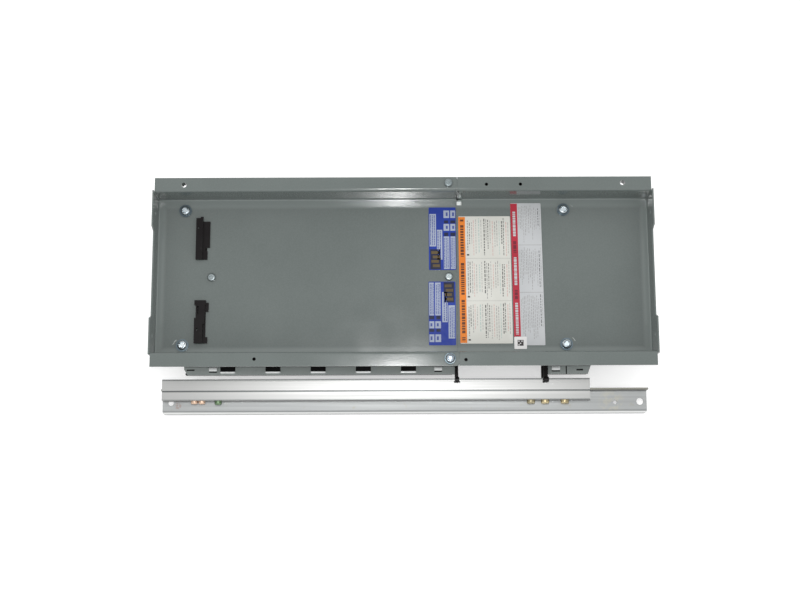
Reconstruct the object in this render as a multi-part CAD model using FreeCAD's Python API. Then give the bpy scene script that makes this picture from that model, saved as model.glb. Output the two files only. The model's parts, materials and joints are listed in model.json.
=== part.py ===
"""Residential load center interior with its blank dead front and its neutral rail.

Frame: origin on the back plane, at the middle of the dead front's length and width and at the
centre of the four wall-stud holes. +X runs along the dead front, towards the line lugs. +Y runs
across it, away from the neutral rail. +Z comes out of the wall. Millimetres.
"""
import FreeCAD, Part
import math
import os
from FreeCAD import Vector

# ---------------------------------------------------------------- driving dimensions
LENGTH = 412.75          # dead front, over its two end walls (16 1/4 in)
WIDTH = 156.9            # dead front, over its two long flanges
DEPTH = 80.0             # back plane to the front of the flanges
TRAY_DEPTH = 27.0        # flange front down to the tray floor
FLANGE = 11.8            # width of a long flange
SHEET = 1.2              # dead front sheet
PAN_SHEET = 1.5          # rear pan, brackets and rail carrier
HOOK_PLANE = 26.0        # height of the breaker hook rails above the back plane
POLE_PITCH = 19.05       # one breaker pole (3/4 in)
HOOK_PITCH = 2 * POLE_PITCH
HOOK_COUNT = 5
STUD_SPACING_X = 228.6   # wall-stud holes, 9 in by 3 in
STUD_SPACING_Y = 76.2
STUD_HOLE_R = 3.6
SEAM_X = 44.6            # where the cover sheet meets the barrier sheet
SEAM_GAP = 0.3
RUNNING_GAP = 0.08       # radial clearance of screws that turn and pieces that slide

# ---------------------------------------------------------------- worked-out places
FLOOR = DEPTH - TRAY_DEPTH
FLOOR_UNDER = FLOOR - SHEET
HALF_LENGTH = LENGTH / 2
HALF_WIDTH = WIDTH / 2
WALL = HALF_WIDTH - FLANGE
FLANGE_END_INSET = 1.8
FLANGE_END = HALF_LENGTH - FLANGE_END_INSET
END_TAB_INNER = 38.2     # the end wall is full height outside this, and lower inside it
END_NOTCH_DEPTH = 8.3
END_NOTCH_SLOPE = 2.6
END_WALL_HALF = 68.4
END_BEND_HALF = 65.3
END_HOLE_Y = 51.2
END_HOLE_DROP = 11.0
END_HOLE_R = 1.9
SEAT_R = 8.2
SEAT_DEPTH = 0.5

SEAM_SCREW_X = 37.4
SEAM_TOP_Y = 73.2
SEAM_BOTTOM_Y = -72.6
SMALL_SCREW_R = 1.9
SMALL_HEAD_R = 3.4
SMALL_HEAD = 2.1
BLIND_NUT_PLACES = ((68.8, 72.2), (96.8, 72.2), (50.1, -73.6))
BLIND_NUT_LENGTH = 8.0
COLLAR_PLACES = ((-180.4, 72.4), (180.9, 73.2))
COLLAR_HOLE_R = 2.1
COLLAR_R = 2.9
COLLAR_LENGTH = 7.5
RELIEF_WIDTH = 1.1       # dark corner relief of the cover sheet at the seam
STRAP_LEFT = SEAM_X - 14.0
STRAP_RIGHT = SEAM_X + 9.0
STRAP_GAP = 0.1

CORNER_LEFT_X = -182.8   # corner screws, 317.5 x 114.3 (12 1/2 x 4 1/2 in)
CORNER_RIGHT_X = CORNER_LEFT_X + 317.5
CORNER_Y = 57.15
CORNER_SCREW_R = 2.5
CORNER_HEAD_R = 3.9
CORNER_HEAD = 2.8
CORNER_SHANK = 12.0
DISH_R = 2.4             # shallow dish around the recess of a corner screw
DISH_DEPTH = 0.7
POST_ACROSS_FLATS = 10.0
WASHER_R = 5.3
WASHER_THICKNESS = 0.9
CAPTIVE_HEAD_R = 3.8

PAN_LEFT = -185.1
PAN_RIGHT = 158.3
PAN_EAR_LEFT = -194.0    # the flange runs further left where a corner post stands on it
PAN_WEB = 47.5           # outer face of a pan web
FLANGE_CUT_X = 43.2      # the hook rails stop here, and wires cross the open side
LOW_WEB = 20.0           # web height in the wiring gap
FIRST_HOOK_X = -148.2
HOOK_SLOT_X = 12.7
HOOK_SLOT_INNER = 63.0
HOOK_SLOT_OUTER = 75.8
TAB_XS = (-160.6, 29.2)
TAB_WIDTH = 6.6
BRACKET_LEFT = 121.8
BRACKET_RIGHT = PAN_RIGHT
BRACKET_TAB_X = 128.4
BRACKET_TAB_WIDTH = 6.9
BRACKET_SLIT_X = 137.2
LINER_LEFT = -184.0      # black insulating liner under the hook slots
LINER_RIGHT = 41.2
LINER_SHEET = 1.5
LINER_LIP_Y = 51.0
LINER_STEP_Y = 61.5
LINER_OUTER_Y = 77.2
LINER_DEPTH = 7.0
LINER_RIVET_XS = (-166.0, -72.0, 22.0)
BRACKET_RIVET_X = 152.0
LINER_RIVET_Y = 56.2
LINER_RIVET_R = 1.2
RIVET_XS = (129.0, 151.0)
RIVET_Z = 11.0
RIVET_R = 1.6

SUPPORT_LEFT_X = -159.8
SUPPORT_RIGHT_X = 38.1
SUPPORT_MIDDLE_X = (SUPPORT_LEFT_X + SUPPORT_RIGHT_X) / 2
SUPPORT_XS = (SUPPORT_LEFT_X, SUPPORT_MIDDLE_X, SUPPORT_RIGHT_X)
LUG_X = 84.0
SUPPORT_WIDTH = 14.0
BAR_BOTTOM = 30.0
BAR_THICKNESS = 3.2
BAR_TOP = BAR_BOTTOM + BAR_THICKNESS
BAR_WIDTH = 17.0
BAR_Y = 14.0
BAR_LEFT = -168.0
BAR_RIGHT = 104.0
STAB_COUNT = 10
FIRST_STAB_X = SUPPORT_MIDDLE_X - POLE_PITCH * (STAB_COUNT - 1) / 2
STAB_TOP = 44.0
STAB_THICKNESS = 1.6
STAB_WIDTH = 10.0
LUG_LENGTH = 24.0
LUG_WIDTH = 19.0
LUG_TOP = 50.0
LUG_BORE_R = 4.5
LUG_BORE_Z = BAR_TOP + 7.5
LUG_SCREW_R = 4.0
LUG_FIXING_R = 2.35
LUG_FIXING_DEPTH = 1.8

RAIL_TOP = HOOK_PLANE
RAIL_LEFT = -203.3
RAIL_RIGHT = 156.8
RAIL_INNER_Y = -82.0     # edge that faces the pan
RAIL_OUTER_Y = -99.7
RAIL_WEB = 2.0
RAIL_BOTTOM = 14.6
CARRIER_LEFT = -204.4
CARRIER_RIGHT = 206.2
CARRIER_LEG_Y = -90.75
CARRIER_FOOT_Y = -109.4
CARRIER_PLATE_TOP = 14.0
TERMINAL_Z = 19.0
GROOVE_Y = -92.2
GROOVE_WIDTH = 0.8
GROOVE_DEPTH = 1.1
SIDE_WALL = 2.5
RIB = 1.6
LEG_SLOT = PAN_SHEET / 2 + RUNNING_GAP
TERMINAL_SCREW_R = 1.9
BRASS_XS = (107.5, 119.5, 136.1)
GREEN_X = -156.7
COPPER_XS = (-176.8, -170.4)

TIE_LEFT_X = 44.9
TIE_RIGHT_X = 119.6
TIE_THICKNESS = 1.2
TIE_HEAD_LENGTH = 4.8
TIE_TOP = 27.9
TIE_BOTTOM = 7.0
TIE_FAR_Y = -42.6
TIE_NEAR_Y = -85.5

LATCH_LEFT = -173.1
LATCH_RIGHT = -161.6
LATCH_TRAVEL = 6.0
LATCH_NECK_LEFT = LATCH_LEFT + 2.4
LATCH_NECK_RIGHT = LATCH_RIGHT - 2.4
LATCH_UPPER_Y = (15.0, 50.2)
LATCH_LOWER_Y = (-55.6, -19.8)
LATCH_SLOT_MARGIN = 3.2
LATCH_FOOT = 4.0
LATCH_RISE = 3.6
LATCH_LOW_RISE = 1.4
LATCH_LIFT = 0.06
LABEL_THICKNESS = 0.2
MIRROR = (1, -1)


# ---------------------------------------------------------------- shape helpers
def block(x0, x1, y0, y1, z0, z1):
    """A box between two opposite corners."""
    return Part.makeBox(x1 - x0, y1 - y0, z1 - z0, Vector(x0, y0, z0))


def rod(x, y, z0, z1, radius):
    """A round bar standing along Z."""
    return Part.makeCylinder(radius, z1 - z0, Vector(x, y, z0), Vector(0, 0, 1))


def cross_rod(x, z, y0, y1, radius):
    """A round bar lying along Y."""
    return Part.makeCylinder(radius, y1 - y0, Vector(x, y0, z), Vector(0, 1, 0))


def long_rod(y, z, x0, x1, radius):
    """A round bar lying along X."""
    return Part.makeCylinder(radius, x1 - x0, Vector(x0, y, z), Vector(1, 0, 0))


def prism(points, height, direction):
    """A closed outline pushed along a direction."""
    wire = Part.makePolygon([Vector(*p) for p in points] + [Vector(*points[0])])
    return Part.Face(wire).extrude(Vector(*direction) * height)


def hex_bar(x, y, z0, z1, across_flats):
    """A hexagonal bar standing along Z."""
    corner = across_flats / math.sqrt(3)
    angles = [math.radians(60 * i + 30) for i in range(6)]
    outline = [(x + corner * math.cos(a), y + corner * math.sin(a), z0) for a in angles]
    return prism(outline, z1 - z0, (0, 0, 1))


def fuse(shapes):
    """One clean solid from touching or overlapping shapes."""
    whole = shapes[0].multiFuse(shapes[1:]) if len(shapes) > 1 else shapes[0]
    return whole.removeSplitter()


def cut(shape, tools):
    """A shape less a list of tools."""
    return shape.cut(Part.makeCompound(tools)).removeSplitter() if tools else shape


def offset_path(path, distance):
    """An open 2D path moved sideways, to its left for a positive distance."""
    steps = [(Vector(*b, 0) - Vector(*a, 0)).normalize() for a, b in zip(path, path[1:])]
    moved = []
    for i, (u, v) in enumerate(path):
        before = steps[max(i - 1, 0)]
        after = steps[min(i, len(steps) - 1)]
        normal = Vector(-before.y - after.y, before.x + after.x, 0)
        scale = 2 * distance / normal.dot(normal)
        moved.append((u + normal.x * scale, v + normal.y * scale))
    return moved


def rounded_edges(path, radii, place):
    """Edges of an open path whose corners are arcs, mapped into space by place(u, v)."""
    edges = []
    start = Vector(*path[0], 0)
    for i in range(1, len(path) - 1):
        corner = Vector(*path[i], 0)
        back = (Vector(*path[i - 1], 0) - corner).normalize()
        ahead = (Vector(*path[i + 1], 0) - corner).normalize()
        half = back.getAngle(ahead) / 2
        run = radii[i] / math.tan(half)
        entry = corner + back * run
        leave = corner + ahead * run
        centre = corner + (back + ahead).normalize() * (radii[i] / math.sin(half))
        middle = centre + (corner - centre).normalize() * radii[i]
        edges.append(Part.makeLine(place(start), place(entry)))
        edges.append(Part.Arc(place(entry), place(middle), place(leave)).toShape())
        start = leave
    edges.append(Part.makeLine(place(start), place(Vector(*path[-1], 0))))
    return edges


def bent_sheet(path, thickness, inner_radius, place, push):
    """Sheet metal bent along a mid-thickness path, then pushed along a vector."""
    left = offset_path(path, thickness / 2)
    right = offset_path(path, -thickness / 2)
    left_radii = [0] * len(path)
    right_radii = [0] * len(path)
    for i in range(1, len(path) - 1):
        ax, ay = path[i][0] - path[i - 1][0], path[i][1] - path[i - 1][1]
        bx, by = path[i + 1][0] - path[i][0], path[i + 1][1] - path[i][1]
        turns_left = ax * by - ay * bx > 0
        left_radii[i] = inner_radius + (0 if turns_left else thickness)
        right_radii[i] = inner_radius + (thickness if turns_left else 0)
    edges = rounded_edges(left, left_radii, place)
    edges += rounded_edges(right, right_radii, place)
    edges.append(Part.makeLine(place(Vector(*left[0], 0)), place(Vector(*right[0], 0))))
    edges.append(Part.makeLine(place(Vector(*left[-1], 0)), place(Vector(*right[-1], 0))))
    wire = Part.Wire(Part.__sortEdges__(edges))
    return Part.Face(wire).extrude(push)


def across(x):
    """Places a (y, z) outline in the plane at x."""
    return lambda p: Vector(x, p.x, p.y)


def along(y):
    """Places an (x, z) outline in the plane at y."""
    return lambda p: Vector(p.x, y, p.y)


def pan_head_screw(x, y, seat, head_r, head_height, shank_r, shank_length):
    """A round-headed screw along Z, its domed head above the seat, with a cross recess."""
    head = rod(x, y, seat, seat + head_height, head_r)
    rim = [e for e in head.Edges if abs(e.CenterOfMass.z - seat - head_height) < 1e-6]
    head = head.makeFillet(head_height * 0.6, rim)
    recess_top = seat + head_height
    arm = head_r * 0.55
    slot = 0.28 * head_r
    recess = [block(x - arm, x + arm, y - slot / 2, y + slot / 2, recess_top - 1.0, recess_top),
              block(x - slot / 2, x + slot / 2, y - arm, y + arm, recess_top - 1.0, recess_top)]
    return cut(fuse([head, rod(x, y, seat - shank_length, seat, shank_r)]), recess)


def side_screw(x, z, seat_y, head_r, head_height, shank_r, shank_length):
    """A slotted round-headed screw along Y, its head on the -Y side of the seat."""
    face = seat_y - head_height
    head = cross_rod(x, z, face, seat_y, head_r)
    rim = [e for e in head.Edges if abs(e.CenterOfMass.y - face) < 1e-6]
    head = head.makeFillet(head_height * 0.45, rim)
    body = fuse([head, cross_rod(x, z, seat_y, seat_y + shank_length, shank_r)])
    return cut(body, [block(x - head_r, x + head_r, face, face + 1.0, z - 0.5, z + 0.5)])


# ---------------------------------------------------------------- dead front sheets
def trough(x0, x1, out=0.0):
    """Floor, side walls and long flanges, bent from one sheet; out moves it outwards."""
    half_sheet = SHEET / 2
    flange_z = DEPTH - half_sheet - out
    floor_z = FLOOR - half_sheet - out
    wall_y = WALL + half_sheet + out
    path = [(-HALF_WIDTH, flange_z), (-wall_y, flange_z), (-wall_y, floor_z),
            (wall_y, floor_z), (wall_y, flange_z), (HALF_WIDTH, flange_z)]
    return bent_sheet(path, SHEET, 1.0, across(x0), Vector(x1 - x0, 0, 0))


def end_wall(side):
    """End wall of the tray with its floor bend; side is -1 for the left and 1 for the right."""
    outer = side * HALF_LENGTH
    mid = outer - side * SHEET / 2
    lip = outer - side * 12.0
    bend_z = FLOOR - SHEET / 2
    bend = bent_sheet([(lip, bend_z), (mid, bend_z), (mid, DEPTH - 1.0)], SHEET, 1.0,
                      along(-END_BEND_HALF), Vector(0, 2 * END_BEND_HALF, 0))
    x0, x1 = sorted((outer, outer - side * SHEET))
    plate = block(x0, x1, -END_WALL_HALF, END_WALL_HALF, FLOOR + 2.0, DEPTH)
    low = DEPTH - END_NOTCH_DEPTH
    inner = END_TAB_INNER - END_NOTCH_SLOPE
    notch = prism([(x0, -END_TAB_INNER, DEPTH), (x0, -inner, low), (x0, inner, low),
                   (x0, END_TAB_INNER, DEPTH)], SHEET, (1, 0, 0))
    holes = [long_rod(s * END_HOLE_Y, DEPTH - END_HOLE_DROP, x0, x1, END_HOLE_R) for s in MIRROR]
    return cut(fuse([bend, plate]), [notch] + holes)


def tray_sheet(side, x_seam):
    """One dead front sheet from its end wall to the seam, before its holes are cut."""
    end = side * FLANGE_END
    sheet = trough(*sorted((end, x_seam)))
    corner = side * (HALF_LENGTH - SHEET - 1.0)
    floor_end = block(*sorted((end, corner)), -WALL + 1.1, WALL - 1.1, FLOOR_UNDER, FLOOR)
    return fuse([cut(sheet, [floor_end]), end_wall(side)])


def screw_seat(x, y):
    """Tool that sinks a shallow round seat around a corner screw, with a sloped rim."""
    return Part.makeCone(SEAT_R - 1.2, SEAT_R, SEAT_DEPTH, Vector(x, y, FLOOR - SEAT_DEPTH))


def corner_hole(x, y):
    """Tool for the clearance hole of a corner screw."""
    return rod(x, y, FLOOR_UNDER, FLOOR, CORNER_SCREW_R + 0.4)


def flange_hole(x, y, radius):
    """Tool for a hole through a long flange."""
    return rod(x, y, DEPTH - SHEET, DEPTH, radius)


def collared(sheet, x, y):
    """A sheet with one more flange hole, whose rim is drawn down into a short collar."""
    under = DEPTH - SHEET
    collar = rod(x, y, under - COLLAR_LENGTH, under + 0.1, COLLAR_R)
    return cut(fuse([sheet, collar]), [rod(x, y, under - COLLAR_LENGTH, DEPTH, COLLAR_HOLE_R)])


def floor_dimple(x, y):
    """Tool for a small coined mark in the floor beside an end wall."""
    return rod(x, y, FLOOR - 0.25, FLOOR, 2.4)


def latch_slot(low, high):
    """Tool for the floor slot that a latch's neck slides in."""
    return block(LATCH_NECK_LEFT - RUNNING_GAP, LATCH_NECK_RIGHT + RUNNING_GAP,
                 low + LATCH_SLOT_MARGIN, high - LATCH_SLOT_MARGIN, FLOOR_UNDER, FLOOR)


def cover_sheet():
    """Left sheet, over the breaker space."""
    tools = [screw_seat(CORNER_LEFT_X, s * CORNER_Y) for s in MIRROR]
    tools += [corner_hole(CORNER_LEFT_X, s * CORNER_Y) for s in MIRROR]
    tools += [floor_dimple(-HALF_LENGTH + 4.6, s * 45.0) for s in MIRROR]
    tools += [latch_slot(*LATCH_UPPER_Y), latch_slot(*LATCH_LOWER_Y)]
    tools += [rod(x, 0, FLOOR_UNDER, FLOOR, SMALL_SCREW_R + 0.2)
              for x in (SUPPORT_LEFT_X, SUPPORT_RIGHT_X)]
    tools += [flange_hole(SEAM_SCREW_X, y, SMALL_SCREW_R + 0.2) for y in (SEAM_TOP_Y, SEAM_BOTTOM_Y)]
    tools.append(flange_hole(-120.5, -72.5, 1.4))
    edge = SEAM_X - SEAM_GAP / 2
    tools.append(block(edge - RELIEF_WIDTH, edge, WALL - 1.0, WALL + 1.6, FLOOR + 4.0, DEPTH))
    return collared(cut(tray_sheet(-1, edge), tools), *COLLAR_PLACES[0])


def barrier_sheet():
    """Right sheet, over the line lugs."""
    tools = [screw_seat(CORNER_RIGHT_X, s * CORNER_Y) for s in MIRROR]
    tools += [corner_hole(CORNER_RIGHT_X, s * CORNER_Y) for s in MIRROR]
    tools += [floor_dimple(HALF_LENGTH - 4.6, s * 45.0) for s in MIRROR]
    tools += [flange_hole(x, y, 1.4) for x, y in BLIND_NUT_PLACES]
    return collared(cut(tray_sheet(1, SEAM_X + SEAM_GAP / 2), tools), *COLLAR_PLACES[1])


def seam_strap():
    """Channel behind the seam: welded to the barrier sheet, and the cover screws into it."""
    strap = trough(STRAP_LEFT, STRAP_RIGHT, SHEET + STRAP_GAP)
    trim = [block(STRAP_LEFT, STRAP_RIGHT, *sorted((s * (HALF_WIDTH - 1.2), s * 100.0)), 0, DEPTH)
            for s in MIRROR]
    holes = [rod(SEAM_SCREW_X, y, FLOOR, DEPTH, SMALL_SCREW_R + RUNNING_GAP)
             for y in (SEAM_TOP_Y, SEAM_BOTTOM_Y)]
    holes.append(rod(SUPPORT_RIGHT_X, 0, 0, FLOOR, SMALL_SCREW_R + 0.2))
    holes.append(rod(*BLIND_NUT_PLACES[2], FLOOR, DEPTH, 1.4))
    return cut(strap, trim + holes)


def seam_clip():
    """Small bent strip that covers the seam's corner between the far wall and the floor."""
    half = 0.4
    path = [(WALL - half, DEPTH - 1.6), (WALL - half, FLOOR + half), (61.2, FLOOR + half)]
    return bent_sheet(path, 2 * half, 1.2, across(SEAM_X + 0.4), Vector(4.2, 0, 0))


def blind_nuts():
    """Clinch nuts with closed ends behind three small flange holes; the last sits on the strap."""
    nuts = []
    for x, y in BLIND_NUT_PLACES:
        on_strap = STRAP_LEFT < x < STRAP_RIGHT
        top = DEPTH - SHEET - (SHEET + STRAP_GAP if on_strap else 0)
        bore = rod(x, y, top - BLIND_NUT_LENGTH + 1.0, top, 1.3)
        nuts.append(cut(rod(x, y, top - BLIND_NUT_LENGTH, top, 3.2), [bore]))
    return nuts


def label(x0, x1, y0, y1):
    """A printed label lying on the tray floor."""
    return block(x0, x1, y0, y1, FLOOR, FLOOR + LABEL_THICKNESS)


def slanted_label(x0, x1, y0, y1, shift):
    """A label put on slightly askew: its far edge sits at x0, its near edge moved by shift."""
    outline = [(x0, y1, FLOOR), (x1, y1, FLOOR), (x1 + shift, y0, FLOOR), (x0 + shift, y0, FLOOR)]
    return prism(outline, LABEL_THICKNESS, (0, 0, 1))


# ---------------------------------------------------------------- corner screws, posts and small screws
def corner_screw(x, y):
    """Round-headed screw with a dished recess, through a tray seat into a corner post."""
    seat = FLOOR - SEAT_DEPTH + WASHER_THICKNESS
    screw = pan_head_screw(x, y, seat, CORNER_HEAD_R, CORNER_HEAD, CORNER_SCREW_R, CORNER_SHANK)
    dish_z = seat + CORNER_HEAD - DISH_DEPTH
    return cut(screw, [Part.makeCone(DISH_R - DISH_DEPTH, DISH_R, DISH_DEPTH, Vector(x, y, dish_z))])


def washer(x, y):
    """Flat washer under a corner screw's head."""
    z0 = FLOOR - SEAT_DEPTH
    z1 = z0 + WASHER_THICKNESS
    return cut(rod(x, y, z0, z1, WASHER_R), [rod(x, y, z0, z1, CORNER_SCREW_R + 0.2)])


def corner_post(x, y):
    """Hex post from the hook plane to the tray floor, threaded for its screw."""
    post = hex_bar(x, y, HOOK_PLANE, FLOOR_UNDER, POST_ACROSS_FLATS)
    return cut(post, [rod(x, y, FLOOR_UNDER - 14.0, FLOOR_UNDER, CORNER_SCREW_R + RUNNING_GAP)])


def small_screw(x, y, seat, length):
    """Small screw that holds the cover sheet down."""
    return pan_head_screw(x, y, seat, SMALL_HEAD_R, SMALL_HEAD, SMALL_SCREW_R, length)


def seam_screws():
    """Two small screws: the far flange's and the one on the centre line near the seam."""
    return [small_screw(SEAM_SCREW_X, SEAM_TOP_Y, DEPTH, 5.0),
            small_screw(SUPPORT_RIGHT_X, 0, FLOOR, 8.0)]


def captive_screw():
    """Larger screw through the near flange at the seam."""
    seat = DEPTH + 0.7
    return pan_head_screw(SEAM_SCREW_X, SEAM_BOTTOM_Y, seat, CAPTIVE_HEAD_R, 2.6, SMALL_SCREW_R, 6.0)


def captive_washer():
    """Dished ring under the captive screw."""
    ring = Part.makeCone(4.8, 4.5, 0.7, Vector(SEAM_SCREW_X, SEAM_BOTTOM_Y, DEPTH))
    return cut(ring, [rod(SEAM_SCREW_X, SEAM_BOTTOM_Y, DEPTH, DEPTH + 1, SMALL_SCREW_R + 0.2)])


# ---------------------------------------------------------------- nylon latches
def latch_upper():
    """Far latch: a raised column with a pin hole, a lower wing beside it and a notch."""
    low, high = LATCH_UPPER_Y
    base = FLOOR + LATCH_LIFT
    column = block(LATCH_LEFT, LATCH_LEFT + 5.6, low, high, base, FLOOR + LATCH_RISE)
    wing = block(LATCH_LEFT + 5.6, LATCH_RIGHT, low + 10.2, high - 2.6, base, FLOOR + LATCH_LOW_RISE)
    tail = block(LATCH_LEFT + 5.6, LATCH_RIGHT - 1.9, low, low + 7.4, base, FLOOR + LATCH_LOW_RISE)
    bridge = block(LATCH_LEFT + 5.6, LATCH_LEFT + 7.6, low + 7.4, low + 10.2, base, FLOOR + LATCH_LOW_RISE)
    bump = block(LATCH_LEFT + 3.4, LATCH_LEFT + 5.6, high, high + 1.6, base, FLOOR + LATCH_LOW_RISE)
    neck = block(LATCH_NECK_LEFT, LATCH_NECK_RIGHT, low + LATCH_SLOT_MARGIN + LATCH_TRAVEL + RUNNING_GAP,
                 high - LATCH_SLOT_MARGIN - RUNNING_GAP, FLOOR_UNDER - 1, base + 0.5)
    foot = block(LATCH_LEFT + 1.0, LATCH_RIGHT - 1.0, low + LATCH_TRAVEL + 1.0, high - 1.0,
                 FLOOR_UNDER - LATCH_FOOT, FLOOR_UNDER - LATCH_LIFT)
    pin = rod(LATCH_LEFT + 1.9, high - 8.4, FLOOR, FLOOR + LATCH_RISE, 0.8)
    return cut(fuse([column, wing, tail, bridge, bump, neck, foot]), [pin])


def latch_lower():
    """Near latch: a head bar with a slit, a slender column with a pin hole and a hooked toe."""
    low, high = LATCH_LOWER_Y
    base = FLOOR + LATCH_LIFT
    column = block(LATCH_LEFT, LATCH_LEFT + 7.0, low, low + 21.0, base, FLOOR + LATCH_RISE)
    stem = block(LATCH_LEFT + 1.2, LATCH_LEFT + 8.6, low + 21.0, high - 3.8, base, FLOOR + LATCH_RISE)
    head = block(LATCH_LEFT, LATCH_RIGHT - 2.2, high - 3.8, high, base, FLOOR + LATCH_RISE)
    lobe = block(LATCH_LEFT + 8.6, LATCH_RIGHT, high - 9.4, high - 1.8, base, FLOOR + LATCH_LOW_RISE)
    heel = block(LATCH_LEFT + 7.0, LATCH_LEFT + 8.4, low + 16.0, low + 21.0, base, FLOOR + LATCH_RISE)
    toe = block(LATCH_LEFT + 7.0, LATCH_RIGHT - 0.6, low, low + 5.2, base, FLOOR + LATCH_LOW_RISE)
    neck = block(LATCH_NECK_LEFT, LATCH_NECK_RIGHT, low + LATCH_SLOT_MARGIN + RUNNING_GAP,
                 high - LATCH_SLOT_MARGIN - LATCH_TRAVEL - RUNNING_GAP, FLOOR_UNDER - 1, base + 0.5)
    foot = block(LATCH_LEFT + 1.0, LATCH_RIGHT - 1.0, low + 1.0, high - LATCH_TRAVEL - 1.0,
                 FLOOR_UNDER - LATCH_FOOT, FLOOR_UNDER - LATCH_LIFT)
    slit = block(LATCH_LEFT + 2.2, LATCH_LEFT + 3.8, high - 12.0, high - 4.8,
                 base + 0.6, FLOOR + LATCH_RISE)
    pin = rod(LATCH_LEFT + 2.6, low + 11.6, FLOOR, FLOOR + LATCH_RISE, 0.8)
    return cut(fuse([column, stem, head, lobe, heel, toe, neck, foot]), [slit, pin])


# ---------------------------------------------------------------- rear pan and its brackets
def hook_lip(x, side):
    """Raised hook at the outer edge of a breaker slot."""
    y0, y1 = sorted((side * HOOK_SLOT_OUTER, side * (HOOK_SLOT_OUTER + 0.9)))
    return block(x - HOOK_SLOT_X / 2, x + HOOK_SLOT_X / 2, y0, y1, HOOK_PLANE - 0.5, HOOK_PLANE + 1.6)


def tab_opening(x, side, width):
    """Tool for the slit that is left open on the outer side of a formed tab."""
    y0, y1 = sorted((side * 75.3, side * 76.4))
    return block(x - width / 2, x + width / 2, y0, y1, 0, DEPTH)


def formed_tab(x, side, width):
    """Low arched tab pressed up from the hook plane."""
    y0, y1 = sorted((side * 71.6, side * 75.4))
    arch = long_rod((y0 + y1) / 2, HOOK_PLANE - 0.6, x - width / 2, x + width / 2, 2.0)
    return arch.common(block(x - width, x + width, y0, y1, HOOK_PLANE - 1.0, HOOK_PLANE + 5.0))


def rear_pan():
    """Hat-section pan: base against the wall, webs, and outward hook rails."""
    half_sheet = PAN_SHEET / 2
    web_y = PAN_WEB - half_sheet
    rail_z = HOOK_PLANE - half_sheet
    path = [(-HALF_WIDTH, rail_z), (-web_y, rail_z), (-web_y, half_sheet),
            (web_y, half_sheet), (web_y, rail_z), (HALF_WIDTH, rail_z)]
    pan = bent_sheet(path, PAN_SHEET, 1.5, across(PAN_EAR_LEFT), Vector(PAN_RIGHT - PAN_EAR_LEFT, 0, 0))
    hooks = [FIRST_HOOK_X + HOOK_PITCH * i for i in range(HOOK_COUNT)]
    tools = [block(FLANGE_CUT_X, PAN_RIGHT, *sorted((s * 44.0, s * 90.0)), LOW_WEB, DEPTH) for s in MIRROR]
    tools += [block(PAN_EAR_LEFT, PAN_LEFT, *sorted((s * 66.0, s * 90.0)), 0, DEPTH) for s in MIRROR]
    tools.append(block(PAN_EAR_LEFT, PAN_LEFT, -PAN_WEB - 0.1, PAN_WEB + 0.1, -1, HOOK_PLANE - PAN_SHEET))
    for s in MIRROR:
        edge = s * HALF_WIDTH
        tools.append(prism([(PAN_LEFT, edge, 0), (PAN_LEFT + 3.0, edge, 0), (PAN_LEFT, edge - s * 5.0, 0)],
                           DEPTH, (0, 0, 1)))
        for x in hooks:
            y0, y1 = sorted((s * HOOK_SLOT_INNER, s * HOOK_SLOT_OUTER))
            tools.append(block(x - HOOK_SLOT_X / 2, x + HOOK_SLOT_X / 2, y0, y1, 0, DEPTH))
        tools.append(block(-182.9, -176.2, *sorted((s * 73.6, s * 74.8)), 0, DEPTH))
        tools += [tab_opening(x, s, TAB_WIDTH) for x in TAB_XS]
        tools += [rod(x, s * LINER_RIVET_Y, 0, DEPTH, LINER_RIVET_R) for x in LINER_RIVET_XS]
    for x in (-STUD_SPACING_X / 2, STUD_SPACING_X / 2):
        for y in (-STUD_SPACING_Y / 2, STUD_SPACING_Y / 2):
            tools.append(rod(x, y, 0, PAN_SHEET, STUD_HOLE_R))
    for x in (TIE_LEFT_X, TIE_RIGHT_X):
        tools.append(block(x - 3.5, x + 3.5, -50, -45, TIE_BOTTOM - 0.9, TIE_BOTTOM + 2.4))
    tools += [cross_rod(x, RIVET_Z, -60.0, 60.0, RIVET_R) for x in RIVET_XS]
    shape = cut(pan, tools)
    lips = [hook_lip(x, s) for x in hooks for s in MIRROR]
    tabs = [formed_tab(x, s, TAB_WIDTH) for x in TAB_XS for s in MIRROR]
    return fuse([shape] + lips + tabs)


def right_bracket(side):
    """Angle bracket on the pan web that carries the right corner post; side is 1 far, -1 near."""
    mid = side * (PAN_WEB + 0.05 + PAN_SHEET / 2)
    top = HOOK_PLANE - PAN_SHEET / 2
    length = BRACKET_RIGHT - BRACKET_LEFT
    angle = bent_sheet([(mid, 3.0), (mid, top), (side * HALF_WIDTH, top)], PAN_SHEET, 1.5,
                       across(BRACKET_LEFT), Vector(length, 0, 0))
    edge = side * HALF_WIDTH
    chamfer = prism([(BRACKET_RIGHT, edge, 0), (BRACKET_RIGHT - 3.0, edge, 0),
                     (BRACKET_RIGHT, edge - side * 8.0, 0)], DEPTH, (0, 0, 1))
    slit_y = sorted((side * 66.0, side * 90.0))
    slit = block(BRACKET_SLIT_X - 0.5, BRACKET_SLIT_X + 0.5, *slit_y, 0, DEPTH)
    window_y = sorted((side * 64.0, side * 70.9))
    window = block(BRACKET_SLIT_X - 3.0, BRACKET_SLIT_X + 2.0, *window_y, 0, DEPTH)
    slot = block(BRACKET_RIGHT - 12.5, BRACKET_RIGHT - 6.9, *sorted((side * 74.2, side * 75.6)), 0, DEPTH)
    holes = [cross_rod(x, RIVET_Z, -60.0, 60.0, RIVET_R) for x in RIVET_XS]
    holes.append(rod(BRACKET_RIVET_X, side * LINER_RIVET_Y, 0, DEPTH, LINER_RIVET_R))
    holes.append(tab_opening(BRACKET_TAB_X, side, BRACKET_TAB_WIDTH))
    tab = formed_tab(BRACKET_TAB_X, side, BRACKET_TAB_WIDTH)
    return fuse([cut(angle, [chamfer, slit, window, slot] + holes), tab])


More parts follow.
